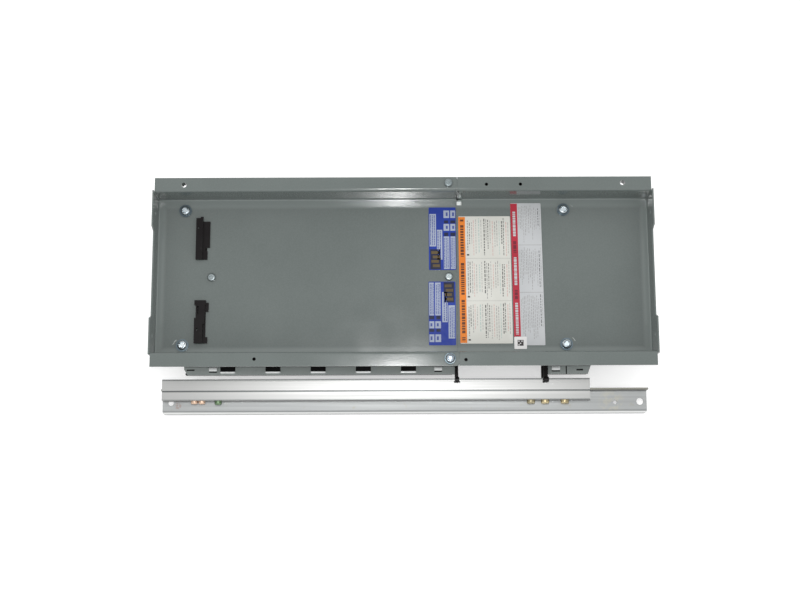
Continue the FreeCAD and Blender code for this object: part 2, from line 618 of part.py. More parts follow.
def bracket_rivets():
    """Round rivets through each bracket's upright leg and the pan web."""
    rivets = []
    for s in MIRROR:
        inner = PAN_WEB - PAN_SHEET
        outer = PAN_WEB + 0.05 + PAN_SHEET
        for x in RIVET_XS:
            tail = cross_rod(x, RIVET_Z, *sorted((s * (inner - 1.2), s * inner)), 3.0)
            head = cross_rod(x, RIVET_Z, *sorted((s * outer, s * (outer + 1.2))), 3.0)
            shank = cross_rod(x, RIVET_Z, *sorted((s * inner, s * outer)), RIVET_R)
            rivets.append(fuse([tail, head, shank]))
    return rivets


def hook_liner(x0, x1, side, rivet_xs):
    """Black insulating channel under a hook rail, riveted to it along its inner lip."""
    lip_z = HOOK_PLANE - PAN_SHEET - 0.05 - LINER_SHEET / 2
    base_z = lip_z - LINER_DEPTH
    path = [(LINER_LIP_Y, lip_z), (LINER_STEP_Y, lip_z), (LINER_STEP_Y, base_z),
            (LINER_OUTER_Y, base_z), (LINER_OUTER_Y, lip_z + LINER_SHEET / 2)]
    path = [(side * y, z) for y, z in path]
    channel = bent_sheet(path, LINER_SHEET, 0.6, across(x0), Vector(x1 - x0, 0, 0))
    return cut(channel, [rod(x, side * LINER_RIVET_Y, 0, DEPTH, LINER_RIVET_R) for x in rivet_xs])


def liner_rivets():
    """Small rivets that hold the liners under the hook rails and the brackets."""
    bottom = HOOK_PLANE - PAN_SHEET - 0.05 - LINER_SHEET
    rivets = []
    for x in LINER_RIVET_XS + (BRACKET_RIVET_X,):
        for s in MIRROR:
            y = s * LINER_RIVET_Y
            rivets.append(fuse([rod(x, y, HOOK_PLANE, HOOK_PLANE + 0.9, 2.3),
                                rod(x, y, bottom, HOOK_PLANE, LINER_RIVET_R),
                                rod(x, y, bottom - 0.9, bottom, 2.2)]))
    return rivets


# ---------------------------------------------------------------- bus: supports, bars, stabs, lugs
def bus_support(x, post_top, bar_hole_r=2.0):
    """Moulded insulator across the pan: base, two saddles under the bars, and a centre post."""
    half = SUPPORT_WIDTH / 2
    base = block(x - half, x + half, -42.0, 42.0, PAN_SHEET, 7.0)
    bar_edge = BAR_Y + BAR_WIDTH / 2
    pieces = [base]
    window = []
    for s in MIRROR:
        pieces.append(block(x - half, x + half, *sorted((s * 4.0, s * 25.1)), 7.0, BAR_BOTTOM))
        fence = sorted((s * (bar_edge + 1.1), s * 25.1))
        pieces.append(block(x - half, x + half, *fence, BAR_BOTTOM, BAR_TOP + 3.0))
        opening = sorted((s * 6.5, s * 21.5))
        window.append(block(x - half + 2.2, x + half - 2.2, *opening, 10.0, BAR_BOTTOM - 6.0))
    if post_top:
        pieces.append(rod(x, 0, 5.0, post_top, 4.6))
        window.append(rod(x, 0, post_top - 12.0, post_top, SMALL_SCREW_R + RUNNING_GAP))
    holes = [rod(x, s * 34.0, PAN_SHEET, 7.0, 2.1) for s in MIRROR]
    holes += [rod(x, s * BAR_Y, BAR_BOTTOM - 6.0, BAR_BOTTOM, bar_hole_r) for s in MIRROR]
    return cut(fuse(pieces), window + holes)


def bus_bar(side):
    """Flat plated bar on the supports, with a rounded left end; side is 1 for A, -1 for B."""
    y0 = side * BAR_Y - BAR_WIDTH / 2
    bar = block(BAR_LEFT + BAR_WIDTH / 2, BAR_RIGHT, y0, y0 + BAR_WIDTH, BAR_BOTTOM, BAR_TOP)
    nose = rod(BAR_LEFT + BAR_WIDTH / 2, side * BAR_Y, BAR_BOTTOM, BAR_TOP, BAR_WIDTH / 2)
    holes = [rod(x, side * BAR_Y, BAR_BOTTOM, BAR_TOP, 2.2) for x in SUPPORT_XS]
    holes.append(rod(LUG_X, side * BAR_Y, BAR_BOTTOM, BAR_TOP, 2.6))
    return cut(fuse([bar, nose]), holes)


def stab(x, side):
    """Plug-on blade on the centre line with a foot riveted to one bar."""
    half = STAB_WIDTH / 2
    y0, y1 = sorted((-side * STAB_THICKNESS / 2, side * (BAR_Y + 5.5)))
    foot = block(x - half, x + half, y0, y1, BAR_TOP, BAR_TOP + STAB_THICKNESS)
    blade = block(x - half, x + half, -STAB_THICKNESS / 2, STAB_THICKNESS / 2, BAR_TOP, STAB_TOP)
    shoulder = []
    for s in MIRROR:
        corner = x + s * half
        outline = [(corner, -STAB_THICKNESS, STAB_TOP), (corner - s * 1.6, -STAB_THICKNESS, STAB_TOP),
                   (corner, -STAB_THICKNESS, STAB_TOP - 3.0)]
        shoulder.append(prism(outline, 2 * STAB_THICKNESS, (0, 1, 0)))
    hole = rod(x, side * BAR_Y, BAR_TOP, BAR_TOP + STAB_THICKNESS, 1.6)
    return cut(fuse([foot, blade]), shoulder + [hole])


def stab_places():
    """(x, side) of every stab: the poles alternate between the two bars."""
    return [(FIRST_STAB_X + POLE_PITCH * i, 1 if i % 2 == 0 else -1) for i in range(STAB_COUNT)]


def stabs(side):
    """All blades of one bar."""
    return [stab(x, s) for x, s in stab_places() if s == side]


def stab_rivets():
    """Round-headed studs that join each stab foot to its bar."""
    seat = BAR_TOP + STAB_THICKNESS
    return [fuse([rod(x, s * BAR_Y, seat, seat + 1.3, 2.6), rod(x, s * BAR_Y, BAR_TOP, seat, 1.5)])
            for x, s in stab_places()]


def bus_bar_screws():
    """Screws that hold the bars down on the supports."""
    return [pan_head_screw(x, s * BAR_Y, BAR_TOP, 3.6, 2.2, 1.9, BAR_THICKNESS + 5.0)
            for x in SUPPORT_XS for s in MIRROR]


def support_screws():
    """Screws that hold the supports down on the pan."""
    places = [(x, s * 34.0) for x in SUPPORT_XS + (LUG_X,) for s in MIRROR]
    return [pan_head_screw(x, y, 7.0, 3.6, 2.2, 2.0, 5.4) for x, y in places]


def lug_support():
    """Insulator under the line lugs: as the others, with no centre post."""
    return bus_support(LUG_X, 0, 3.8)


def line_lug(side):
    """Solderless box lug on the end of a bar, its wire bore along X."""
    y = side * BAR_Y
    body = block(LUG_X - LUG_LENGTH / 2, LUG_X + LUG_LENGTH / 2, y - LUG_WIDTH / 2, y + LUG_WIDTH / 2,
                 BAR_TOP, LUG_TOP)
    edges = [e for e in body.Edges if abs(e.CenterOfMass.z - LUG_TOP) < 1e-6]
    body = body.makeChamfer(0.8, edges)
    bore = long_rod(y, LUG_BORE_Z, LUG_X - LUG_LENGTH, LUG_X + LUG_LENGTH, LUG_BORE_R)
    thread = rod(LUG_X, y, LUG_BORE_Z, LUG_TOP, LUG_SCREW_R + RUNNING_GAP)
    screw_hole = rod(LUG_X, y, BAR_TOP, BAR_TOP + LUG_FIXING_DEPTH, LUG_FIXING_R)
    return cut(body, [bore, thread, screw_hole])


def lug_set_screw(side):
    """Socket set screw of a line lug, backed off so that a conductor can enter."""
    y = side * BAR_Y
    low = LUG_BORE_Z + LUG_BORE_R + 0.1
    body = rod(LUG_X, y, low, LUG_TOP + 0.6, LUG_SCREW_R)
    tip = [e for e in body.Edges if abs(e.CenterOfMass.z - low) < 1e-6]
    body = body.makeChamfer(0.7, tip)
    return cut(body, [hex_bar(LUG_X, y, LUG_TOP - 2.4, LUG_TOP + 0.6, 4.0)])


def lug_mounting_screws():
    """Screws up through each bar into its lug, heads below the bar."""
    return [fuse([rod(LUG_X, s * BAR_Y, BAR_BOTTOM - 2.2, BAR_BOTTOM, 3.6),
                  rod(LUG_X, s * BAR_Y, BAR_BOTTOM, BAR_TOP + LUG_FIXING_DEPTH - 0.1,
                      LUG_FIXING_R - RUNNING_GAP)]) for s in MIRROR]


# ---------------------------------------------------------------- neutral rail
def neutral_rail():
    """Aluminium extrusion: web, two side walls, and two ribs that grip the carrier's leg."""
    def wall(y0, y1, z0):
        return block(RAIL_LEFT, RAIL_RIGHT, min(y0, y1), max(y0, y1), z0, RAIL_TOP - RAIL_WEB / 2)

    web = block(RAIL_LEFT, RAIL_RIGHT, RAIL_OUTER_Y, RAIL_INNER_Y, RAIL_TOP - RAIL_WEB, RAIL_TOP)
    near_rib = wall(CARRIER_LEG_Y - LEG_SLOT, CARRIER_LEG_Y - LEG_SLOT - RIB, RAIL_BOTTOM + 2)
    far_rib = wall(CARRIER_LEG_Y + LEG_SLOT, CARRIER_LEG_Y + LEG_SLOT + RIB, RAIL_BOTTOM + 2)
    body = fuse([web, wall(RAIL_INNER_Y, RAIL_INNER_Y - RAIL_WEB, RAIL_BOTTOM),
                 wall(RAIL_OUTER_Y, RAIL_OUTER_Y + SIDE_WALL, RAIL_BOTTOM), near_rib, far_rib])
    groove = block(RAIL_LEFT, RAIL_RIGHT, GROOVE_Y - GROOVE_WIDTH / 2, GROOVE_Y + GROOVE_WIDTH / 2,
                   RAIL_TOP - GROOVE_DEPTH, RAIL_TOP)
    inside = RAIL_OUTER_Y + SIDE_WALL
    holes = [cross_rod(x, TERMINAL_Z, RAIL_OUTER_Y, inside, TERMINAL_SCREW_R + RUNNING_GAP)
             for x in BRASS_XS + COPPER_XS + (GREEN_X,)]
    ties = [block(x - 2.6, x + 2.6, TIE_NEAR_Y - 0.3, TIE_NEAR_Y + TIE_THICKNESS + 0.3, 20.0, RAIL_TOP)
            for x in (TIE_LEFT_X, TIE_RIGHT_X)]
    return cut(body, [groove] + holes + ties)


def rail_carrier():
    """Z-section that stands on the wall plane and carries the rail on its upright leg."""
    leg_top = RAIL_TOP - RAIL_WEB - RUNNING_GAP
    plate_z = CARRIER_PLATE_TOP - PAN_SHEET / 2
    foot_y = CARRIER_FOOT_Y + PAN_SHEET / 2
    path = [(CARRIER_LEG_Y, leg_top), (CARRIER_LEG_Y, plate_z), (foot_y, plate_z), (foot_y, 0)]
    length = CARRIER_RIGHT - CARRIER_LEFT
    carrier = bent_sheet(path, PAN_SHEET, 1.2, across(CARRIER_LEFT), Vector(length, 0, 0))
    hole_places = [(-197.3, -100.6, 2.3), (179.3, -101.3, 1.5), (200.4, -100.6, 2.9)]
    return cut(carrier, [rod(x, y, 10.0, CARRIER_PLATE_TOP, r) for x, y, r in hole_places])


def rail_screw(x, head_r):
    """Screw through the rail's near side wall."""
    return side_screw(x, TERMINAL_Z, RAIL_OUTER_Y, head_r, 3.0, TERMINAL_SCREW_R, 4.6)


def copper_rivets():
    """Pair of copper rivets in the rail's near side wall."""
    rivets = []
    for x in COPPER_XS:
        head = cross_rod(x, TERMINAL_Z, RAIL_OUTER_Y - 2.4, RAIL_OUTER_Y, 2.9)
        rim = [e for e in head.Edges if abs(e.CenterOfMass.y - RAIL_OUTER_Y + 2.4) < 1e-6]
        head = head.makeFillet(1.3, rim)
        shank = cross_rod(x, TERMINAL_Z, RAIL_OUTER_Y, RAIL_OUTER_Y + 3.4, TERMINAL_SCREW_R)
        rivets.append(fuse([head, shank]))
    return rivets


def cable_tie(x, width, head_width):
    """Closed nylon loop from the rail over the pan web and back, with its head on the rail."""
    x0 = x - width / 2
    t = TIE_THICKNESS

    def loop(inset):
        outline = block(x0, x0 + width, TIE_NEAR_Y + inset, TIE_FAR_Y - inset,
                        TIE_BOTTOM + inset, TIE_TOP - inset)
        corners = [e for e in outline.Edges if abs(e.Vertexes[0].X - e.Vertexes[1].X) > 1e-6]
        return outline.makeFillet(2.6 - inset, corners)

    strap = loop(0).cut(loop(t))
    head = block(x - head_width / 2, x + head_width / 2, TIE_NEAR_Y, TIE_NEAR_Y + TIE_HEAD_LENGTH,
                 RAIL_TOP + 0.1, RAIL_TOP + 4.7)
    head = head.makeFillet(0.7, head.Edges)
    return fuse([strap, head])


# ---------------------------------------------------------------- write every sub-part
def save(name, shapes):
    """Writes one sub-part; a list is a group of separate solids."""
    shapes = shapes if isinstance(shapes, list) else [shapes]
    shape = shapes[0] if len(shapes) == 1 else Part.makeCompound(shapes)
    for solid in shape.Solids:
        if not solid.isValid():
            raise ValueError(name + " is not a valid solid")
    if len(shape.Solids) != len(shapes):
        raise ValueError(name + " has " + str(len(shape.Solids)) + " solids")
    shape.exportStep("parts/" + name + ".step")


def main():
    os.makedirs("parts", exist_ok=True)
    left_corners = [(CORNER_LEFT_X, s * CORNER_Y) for s in MIRROR]
    right_corners = [(CORNER_RIGHT_X, s * CORNER_Y) for s in MIRROR]

    save("rear_pan", rear_pan())
    save("right_bracket_far", right_bracket(1))
    save("right_bracket_near", right_bracket(-1))
    save("bracket_rivets", bracket_rivets())
    save("hook_liner_far", hook_liner(LINER_LEFT, LINER_RIGHT, 1, LINER_RIVET_XS))
    save("hook_liner_near", hook_liner(LINER_LEFT, LINER_RIGHT, -1, LINER_RIVET_XS))
    bracket_liner_end = BRACKET_RIGHT - 3.5
    save("bracket_liners", [hook_liner(BRACKET_LEFT, bracket_liner_end, s, (BRACKET_RIVET_X,))
                            for s in MIRROR])
    save("liner_rivets", liner_rivets())
    save("corner_posts", [corner_post(x, y) for x, y in left_corners + right_corners])
    save("bus_support_left", bus_support(SUPPORT_LEFT_X, FLOOR_UNDER))
    save("bus_support_middle", bus_support(SUPPORT_MIDDLE_X, 0))
    save("bus_support_right", bus_support(SUPPORT_RIGHT_X, FLOOR_UNDER - SHEET - STRAP_GAP))
    save("lug_support", lug_support())
    save("support_screws", support_screws())
    save("bus_bar_a", bus_bar(1))
    save("bus_bar_b", bus_bar(-1))
    save("bus_stabs_a", stabs(1))
    save("bus_stabs_b", stabs(-1))
    save("bus_stab_rivets", stab_rivets())
    save("bus_bar_screws", bus_bar_screws())
    save("line_lug_a", line_lug(1))
    save("line_lug_b", line_lug(-1))
    save("lug_mounting_screws", lug_mounting_screws())
    save("lug_set_screw_a", lug_set_screw(1))
    save("lug_set_screw_b", lug_set_screw(-1))

    save("neutral_rail", neutral_rail())
    save("rail_carrier", rail_carrier())
    save("copper_rivets", copper_rivets())
    save("green_bonding_screw", rail_screw(GREEN_X, 3.0))
    for number, x in enumerate(BRASS_XS, 1):
        save("terminal_screw_" + str(number), rail_screw(x, 3.5))
    save("cable_tie_left", cable_tie(TIE_LEFT_X, 2.2, 3.6))
    save("cable_tie_right", cable_tie(TIE_RIGHT_X, 3.6, 5.0))

    save("barrier_sheet", barrier_sheet())
    save("seam_strap", seam_strap())
    save("seam_clip", seam_clip())
    save("blind_nuts", blind_nuts())
    save("barrier_corner_screws", [corner_screw(x, y) for x, y in right_corners])
    save("barrier_washers", [washer(x, y) for x, y in right_corners])
    save("orange_label", slanted_label(46.3, 89.8, -56.5, 51.6, 0.7))
    save("red_label", slanted_label(90.2, 115.8, -58.1, 62.8, 1.4))
    sticker_z = FLOOR + LABEL_THICKNESS
    save("square_sticker", block(91.5, 101.9, -61.2, -50.9, sticker_z, sticker_z + LABEL_THICKNESS))

    save("cover_sheet", cover_sheet())
    save("circuit_label_far", label(21.5, 44.2, 5.7, 59.4))
    save("circuit_label_near", label(21.0, 43.4, -57.8, -4.2))
    save("cover_corner_screws", [corner_screw(x, y) for x, y in left_corners])
    save("cover_washers", [washer(x, y) for x, y in left_corners])
    save("seam_screws", seam_screws())
    save("cover_screw_left", small_screw(SUPPORT_LEFT_X, 0, FLOOR, 8.0))
    save("captive_screw", captive_screw())
    save("captive_washer", captive_washer())
    save("latch_upper", latch_upper())
    save("latch_lower", latch_lower())


main()
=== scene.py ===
# Looks of the load center interior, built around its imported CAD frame.
# Everything is in metres, in the CAD's own frame: +X towards the line lugs, +Y away from the
# neutral rail, +Z out of the wall.
import json
import math
import random

import bmesh
import bpy
from mathutils import Matrix, Vector


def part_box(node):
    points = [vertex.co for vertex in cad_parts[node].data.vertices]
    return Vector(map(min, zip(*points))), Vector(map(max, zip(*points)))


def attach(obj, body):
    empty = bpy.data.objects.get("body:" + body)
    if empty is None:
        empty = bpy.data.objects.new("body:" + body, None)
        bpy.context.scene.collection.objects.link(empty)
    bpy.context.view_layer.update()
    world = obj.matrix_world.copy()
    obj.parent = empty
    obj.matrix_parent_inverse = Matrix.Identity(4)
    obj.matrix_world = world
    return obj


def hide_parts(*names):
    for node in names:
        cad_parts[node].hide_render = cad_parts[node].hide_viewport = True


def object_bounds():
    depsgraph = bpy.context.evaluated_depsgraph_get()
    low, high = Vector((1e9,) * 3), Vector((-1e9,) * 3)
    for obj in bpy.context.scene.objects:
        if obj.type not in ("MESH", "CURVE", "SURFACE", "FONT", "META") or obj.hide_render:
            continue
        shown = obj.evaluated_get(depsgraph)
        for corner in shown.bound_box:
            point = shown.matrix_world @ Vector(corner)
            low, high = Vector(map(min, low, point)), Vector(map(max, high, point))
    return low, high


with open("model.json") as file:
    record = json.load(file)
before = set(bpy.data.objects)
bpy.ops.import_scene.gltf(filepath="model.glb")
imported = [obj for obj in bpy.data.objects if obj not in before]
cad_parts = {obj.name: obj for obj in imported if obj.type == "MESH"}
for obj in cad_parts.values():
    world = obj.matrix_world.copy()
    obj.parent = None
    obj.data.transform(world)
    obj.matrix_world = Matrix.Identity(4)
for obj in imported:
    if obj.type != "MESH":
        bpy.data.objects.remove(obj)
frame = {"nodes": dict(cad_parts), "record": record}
cad_low, cad_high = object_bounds()
cad = frame["nodes"]
MM = 0.001

# ---------------------------------------------------------------- places taken from the frame
cover_low, cover_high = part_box("cover_sheet")
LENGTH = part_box("barrier_sheet")[1].x - cover_low.x
FRONT = cover_high.z
TRAY_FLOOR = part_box("circuit_label_far")[0].z


def corner_screw_places():
    """Centres of the corner screws: near left, far left, near right and far right."""
    places = []
    for node in ("cover_corner_screws", "barrier_corner_screws"):
        low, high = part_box(node)
        x = (low.x + high.x) / 2
        head = (high.x - low.x) / 2
        places += [(x, low.y + head), (x, high.y - head)]
    return places


def middle(node):
    """Centre of a node's box, across Z."""
    low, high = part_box(node)
    return ((low.x + high.x) / 2, (low.y + high.y) / 2)


corner_screws = corner_screw_places()

# ---------------------------------------------------------------- sizes of the sheet metal
SHEET = 1.2 * MM
FLANGE_WIDTH = 11.8 * MM
TRAY_HALF = cover_high.y - FLANGE_WIDTH
HOOK_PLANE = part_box("neutral_rail")[1].z
HOOK_COUNT = 5
HOOK_PITCH = 38.1 * MM
FIRST_HOOK_X = -148.2 * MM
LAST_HOOK_X = FIRST_HOOK_X + (HOOK_COUNT - 1) * HOOK_PITCH
HOOK_HALF = 5.9 * MM
HOOK_LIP_Y = 76.5 * MM


# ---------------------------------------------------------------- colours
def srgb(red, green, blue):
    """Linear colour from the 0 to 255 values that a screen shows."""
    def linear(value):
        value /= 255
        return value / 12.92 if value <= 0.04045 else ((value + 0.055) / 1.055) ** 2.4
    return (linear(red), linear(green), linear(blue), 1.0)


# ---------------------------------------------------------------- node materials
class Finish:
    """A node material being built. Most methods add nodes and return an output socket."""

    def __init__(self, name):
        self.material = bpy.data.materials.new(name)
        self.material.use_nodes = True
        self.tree = self.material.node_tree
        self.shader = self.tree.nodes["Principled BSDF"]
        self.place = self.tree.nodes.new("ShaderNodeTexCoord").outputs["Object"]

    def put(self, socket, value):
        """Links an output socket, or sets a plain value."""
        if isinstance(value, bpy.types.NodeSocket):
            self.tree.links.new(value, socket)
        else:
            socket.default_value = value

    def surface(self, **values):
        """Sets inputs of the surface shader, named with underscores for spaces."""
        for key, value in values.items():
            self.put(self.shader.inputs[key.replace("_", " ")], value)

    def stretched(self, x, y, z):
        """The object's own coordinates, scaled along each axis."""
        node = self.tree.nodes.new("ShaderNodeMapping")
        self.put(node.inputs["Vector"], self.place)
        node.inputs["Scale"].default_value = (x, y, z)
        return node.outputs["Vector"]

    def noise(self, scale, detail=2.0, place=None, rough=0.5):
        """Cloudy noise from about 0.3 to 0.7, with scale features per metre."""
        node = self.tree.nodes.new("ShaderNodeTexNoise")
        self.put(node.inputs["Vector"], place or self.place)
        node.inputs["Scale"].default_value = scale
        node.inputs["Detail"].default_value = detail
        node.inputs["Roughness"].default_value = rough
        return node.outputs["Fac"]

    def span(self, value, low, high, new_low=0.0, new_high=1.0):
        """Maps a value's low to high onto new_low to new_high, clamped, with a soft start and end."""
        node = self.tree.nodes.new("ShaderNodeMapRange")
        node.interpolation_type = "SMOOTHSTEP"
        for key, number in zip(("Value", "From Min", "From Max", "To Min", "To Max"),
                               (value, low, high, new_low, new_high)):
            self.put(node.inputs[key], number)
        return node.outputs["Result"]

    def sum(self, kind, *values):
        """One step of arithmetic, such as MULTIPLY or ADD."""
        node = self.tree.nodes.new("ShaderNodeMath")
        node.operation = kind
        for socket, value in zip(node.inputs, values):
            self.put(socket, value)
        return node.outputs[0]

    def axis(self, name):
        """The X, Y or Z coordinate of the shaded point, in metres."""
        node = self.tree.nodes.new("ShaderNodeSeparateXYZ")
        self.put(node.inputs[0], self.place)
        return node.outputs[name]

    def band(self, value, centre, half):
        """1 within half of a centre value, with a soft edge."""
        offset = self.sum("ABSOLUTE", self.sum("SUBTRACT", value, centre))
        return self.span(offset, half * 0.7, half * 1.2, 1.0, 0.0)

    def from_axis(self, places):
        """Distance, across Z, to the nearest of several upright axes."""
        nearest = None
        for x, y in places:
            node = self.tree.nodes.new("ShaderNodeVectorMath")
            node.operation = "LENGTH"
            flat = self.tree.nodes.new("ShaderNodeMapping")
            self.put(flat.inputs["Vector"], self.place)
            flat.inputs["Location"].default_value = (-x, -y, 0.0)
            flat.inputs["Scale"].default_value = (1.0, 1.0, 0.0)
            self.put(node.inputs[0], flat.outputs["Vector"])
            distance = node.outputs["Value"]
            nearest = distance if nearest is None else self.sum("MINIMUM", nearest, distance)
        return nearest

    def all_of(self, *masks):
        """The product of several masks."""
        product = masks[0]
        for mask in masks[1:]:
            product = self.sum("MULTIPLY", product, mask)
        return product

    def blend(self, share, first, second):
        """Mixes two colours; the share is how much of the second one shows."""
        node = self.tree.nodes.new("ShaderNodeMix")
        node.data_type = "RGBA"
        factor, first_colour, second_colour, mixed = 0, 6, 7, 2
        self.put(node.inputs[factor], share)
        self.put(node.inputs[first_colour], first)
        self.put(node.inputs[second_colour], second)
        return node.outputs[mixed]

    def paint(self, tone, colour, *masks):
        """Lays a colour over a tone where all the masks are 1; a number thins it everywhere."""
        return self.blend(self.all_of(*masks), tone, colour)

    def near(self, centre, radius):
        """1 at a point of the object, falling to 0 at a radius."""
        node = self.tree.nodes.new("ShaderNodeVectorMath")
        node.operation = "DISTANCE"
        self.put(node.inputs[0], self.place)
        node.inputs[1].default_value = centre
        return self.span(node.outputs["Value"], radius * 0.55, radius, 1.0, 0.0)

    def worn_edges(self, radius):
        """1 on convex and concave edges, 0 on open faces."""
        rounded = self.tree.nodes.new("ShaderNodeBevel")
        rounded.samples = 4
        rounded.inputs["Radius"].default_value = radius
        flat = self.tree.nodes.new("ShaderNodeNewGeometry").outputs["Normal"]
        node = self.tree.nodes.new("ShaderNodeVectorMath")
        node.operation = "DOT_PRODUCT"
        self.put(node.inputs[0], rounded.outputs["Normal"])
        self.put(node.inputs[1], flat)
        bend = self.sum("SUBTRACT", 1.0, node.outputs["Value"])
        return self.span(bend, 0.015, 0.12)

    def bump(self, height, distance, strength):
        """Surface normal of a height field that is distance deep."""
        node = self.tree.nodes.new("ShaderNodeBump")
        self.put(node.inputs["Height"], height)
        node.inputs["Distance"].default_value = distance
        node.inputs["Strength"].default_value = strength
        return node.outputs["Normal"]


def scratch(f, screw, away, direction, length):
    """1 on a short bright scratch beside a corner screw; away is measured from the screw."""
    spot = Vector((screw[0] + away[0], screw[1] + away[1], 0))
    along = Vector((*direction, 0)).normalized()
    across = Vector((-along.y, along.x, 0))
    half_width = 0.42 * MM
    wobble = f.span(f.noise(300.0, 2.0), 0.2, 0.8, -0.4 * MM, 0.4 * MM)

    def reach(axis, half, extra):
        """1 within half of the scratch's middle along an axis."""
        node = f.tree.nodes.new("ShaderNodeVectorMath")
        node.operation = "DOT_PRODUCT"
        f.put(node.inputs[0], f.place)
        node.inputs[1].default_value = axis
        offset = f.sum("SUBTRACT", node.outputs["Value"], axis.dot(spot))
        offset = f.sum("ABSOLUTE", f.sum("ADD", offset, extra))
        return f.span(offset, half * 0.5, half, 1.0, 0.0)

    return f.sum("MULTIPLY", reach(along, length / 2, 0.0), reach(across, half_width, wobble))


ENAMEL_ROUGH = 0.12


def enamel(name, first, second):
    """Baked enamel: orange peel, soft tone drift, rubbed edges and a little dust."""
    f = Finish(name)
    drift = f.span(f.noise(14.0, 3.0), 0.3, 0.7)
    speck = f.span(f.noise(900.0, 2.0), 0.35, 0.65)
    tone = f.blend(drift, first, second)
    tone = f.paint(tone, srgb(112, 119, 117), speck, 0.12)
    dust = f.span(f.noise(1300.0, 1.0), 0.74, 0.80)
    tone = f.paint(tone, srgb(150, 156, 153), dust, 0.25)
    rub = f.span(f.noise(240.0, 4.0), 0.46, 0.62)
    edge = f.sum("MULTIPLY", f.worn_edges(0.35 * MM), rub)
    tone = f.paint(tone, srgb(140, 148, 145), edge, 0.5)
    rough = f.span(f.noise(40.0, 4.0), 0.3, 0.7, ENAMEL_ROUGH - 0.015, ENAMEL_ROUGH + 0.02)
    peel = f.sum("ADD", f.noise(420.0, 2.0), f.sum("MULTIPLY", f.noise(1500.0, 2.0), 0.35))
    f.surface(Roughness=rough, Normal=f.bump(peel, 0.03 * MM, 0.3))
    return f, tone


def dead_front_enamel():
    """The dead front's grey enamel: scratched by its corner screws, with a painted highlight that makes
    the tray's floor paler along its walls.
    """
    f, tone = enamel("grey_enamel", srgb(86, 93, 91), srgb(91, 98, 96))
    marks = [scratch(f, corner_screws[0], (-6.1 * MM, 3.7 * MM), (0.74, 0.67), 4.2 * MM),
             scratch(f, corner_screws[0], (-7.6 * MM, 1.6 * MM), (0.70, 0.71), 2.6 * MM),
             scratch(f, corner_screws[2], (6.2 * MM, 4.1 * MM), (0.58, -0.81), 4.6 * MM),
             scratch(f, corner_screws[3], (6.9 * MM, 3.6 * MM), (0.66, -0.75), 4.0 * MM)]
    for mark in marks:
        tone = f.paint(tone, srgb(190, 194, 192), mark, 0.5)
    x, y = f.sum("ABSOLUTE", f.axis("X")), f.sum("ABSOLUTE", f.axis("Y"))
    # Painted highlight: a paler band on the tray's floor next to its walls stands in for light that the
    # walls throw onto it.
    rim_start, rim_full = 9 * MM, 5 * MM
    painted_floor_highlight = f.sum("MAXIMUM", f.span(x, LENGTH / 2 - rim_start, LENGTH / 2 - rim_full),
                f.span(y, TRAY_HALF - rim_start, TRAY_HALF - rim_full))
    low = f.span(f.axis("Z"), TRAY_FLOOR + 0.5 * MM, TRAY_FLOOR + 3 * MM, 1.0, 0.0)
    tone = f.paint(tone, srgb(112, 119, 117), painted_floor_highlight, low, 0.8)
    f.surface(Base_Color=tone)
    return f.material


def pan_enamel_painted_light():
    """The chassis's enamel, painted paler than the dead front's to stand in for the light that reaches
    it under the tray, with painted highlights on the hook lip edges and on the raised pressed tab tops,
    and a painted shadow line where the dead front's flanges overhang it."""
    # Base colours painted paler than the dead front's enamel, standing in for light on the chassis
    # under the tray.
    f, tone = enamel("pan_enamel_painted_light", srgb(133, 139, 137), srgb(141, 147, 145))
    x, y, z = f.axis("X"), f.sum("ABSOLUTE", f.axis("Y")), f.axis("Z")
    from_hook = f.sum("WRAP", f.sum("SUBTRACT", x, FIRST_HOOK_X), HOOK_PITCH / 2, -HOOK_PITCH / 2)
    from_hook = f.sum("ABSOLUTE", from_hook)
    ends, soft = 1.5 * HOOK_HALF, 0.7 * MM
    # Painted highlight: near white on the hook lip edges and, weaker, on each pressed tab's raised top.
    painted_lip_highlight = f.all_of(f.span(from_hook, HOOK_HALF - soft, HOOK_HALF + soft, 1.0, 0.0),
                    f.band(y, HOOK_LIP_Y, 0.45 * MM),
                    f.span(z, HOOK_PLANE - 0.3 * MM, HOOK_PLANE - 0.1 * MM),
                    f.span(x, FIRST_HOOK_X - ends, FIRST_HOOK_X - ends + soft),
                    f.span(x, LAST_HOOK_X + ends - soft, LAST_HOOK_X + ends, 1.0, 0.0))
    tabs_from = HOOK_LIP_Y - 6.5 * MM
    painted_tab_highlight = f.all_of(f.span(z, HOOK_PLANE + 0.2 * MM, HOOK_PLANE + 0.6 * MM),
                    f.span(y, tabs_from, tabs_from + 1 * MM))
    bright = f.sum("MAXIMUM", painted_lip_highlight, f.sum("MULTIPLY", painted_tab_highlight, 0.6))
    # Painted shadow: a dark line on the chassis just under the edge of the dead front's flanges.
    painted_flange_shadow = f.all_of(f.span(y, TRAY_HALF - 0.6 * MM, TRAY_HALF + 2.4 * MM),
                     f.span(y, TRAY_HALF + 4.8 * MM, TRAY_HALF + 5.5 * MM, 1.0, 0.0))
    tone = f.paint(tone, srgb(48, 52, 51), painted_flange_shadow, 0.85)
    f.surface(Base_Color=f.paint(tone, srgb(232, 234, 234), bright))
    return f.material


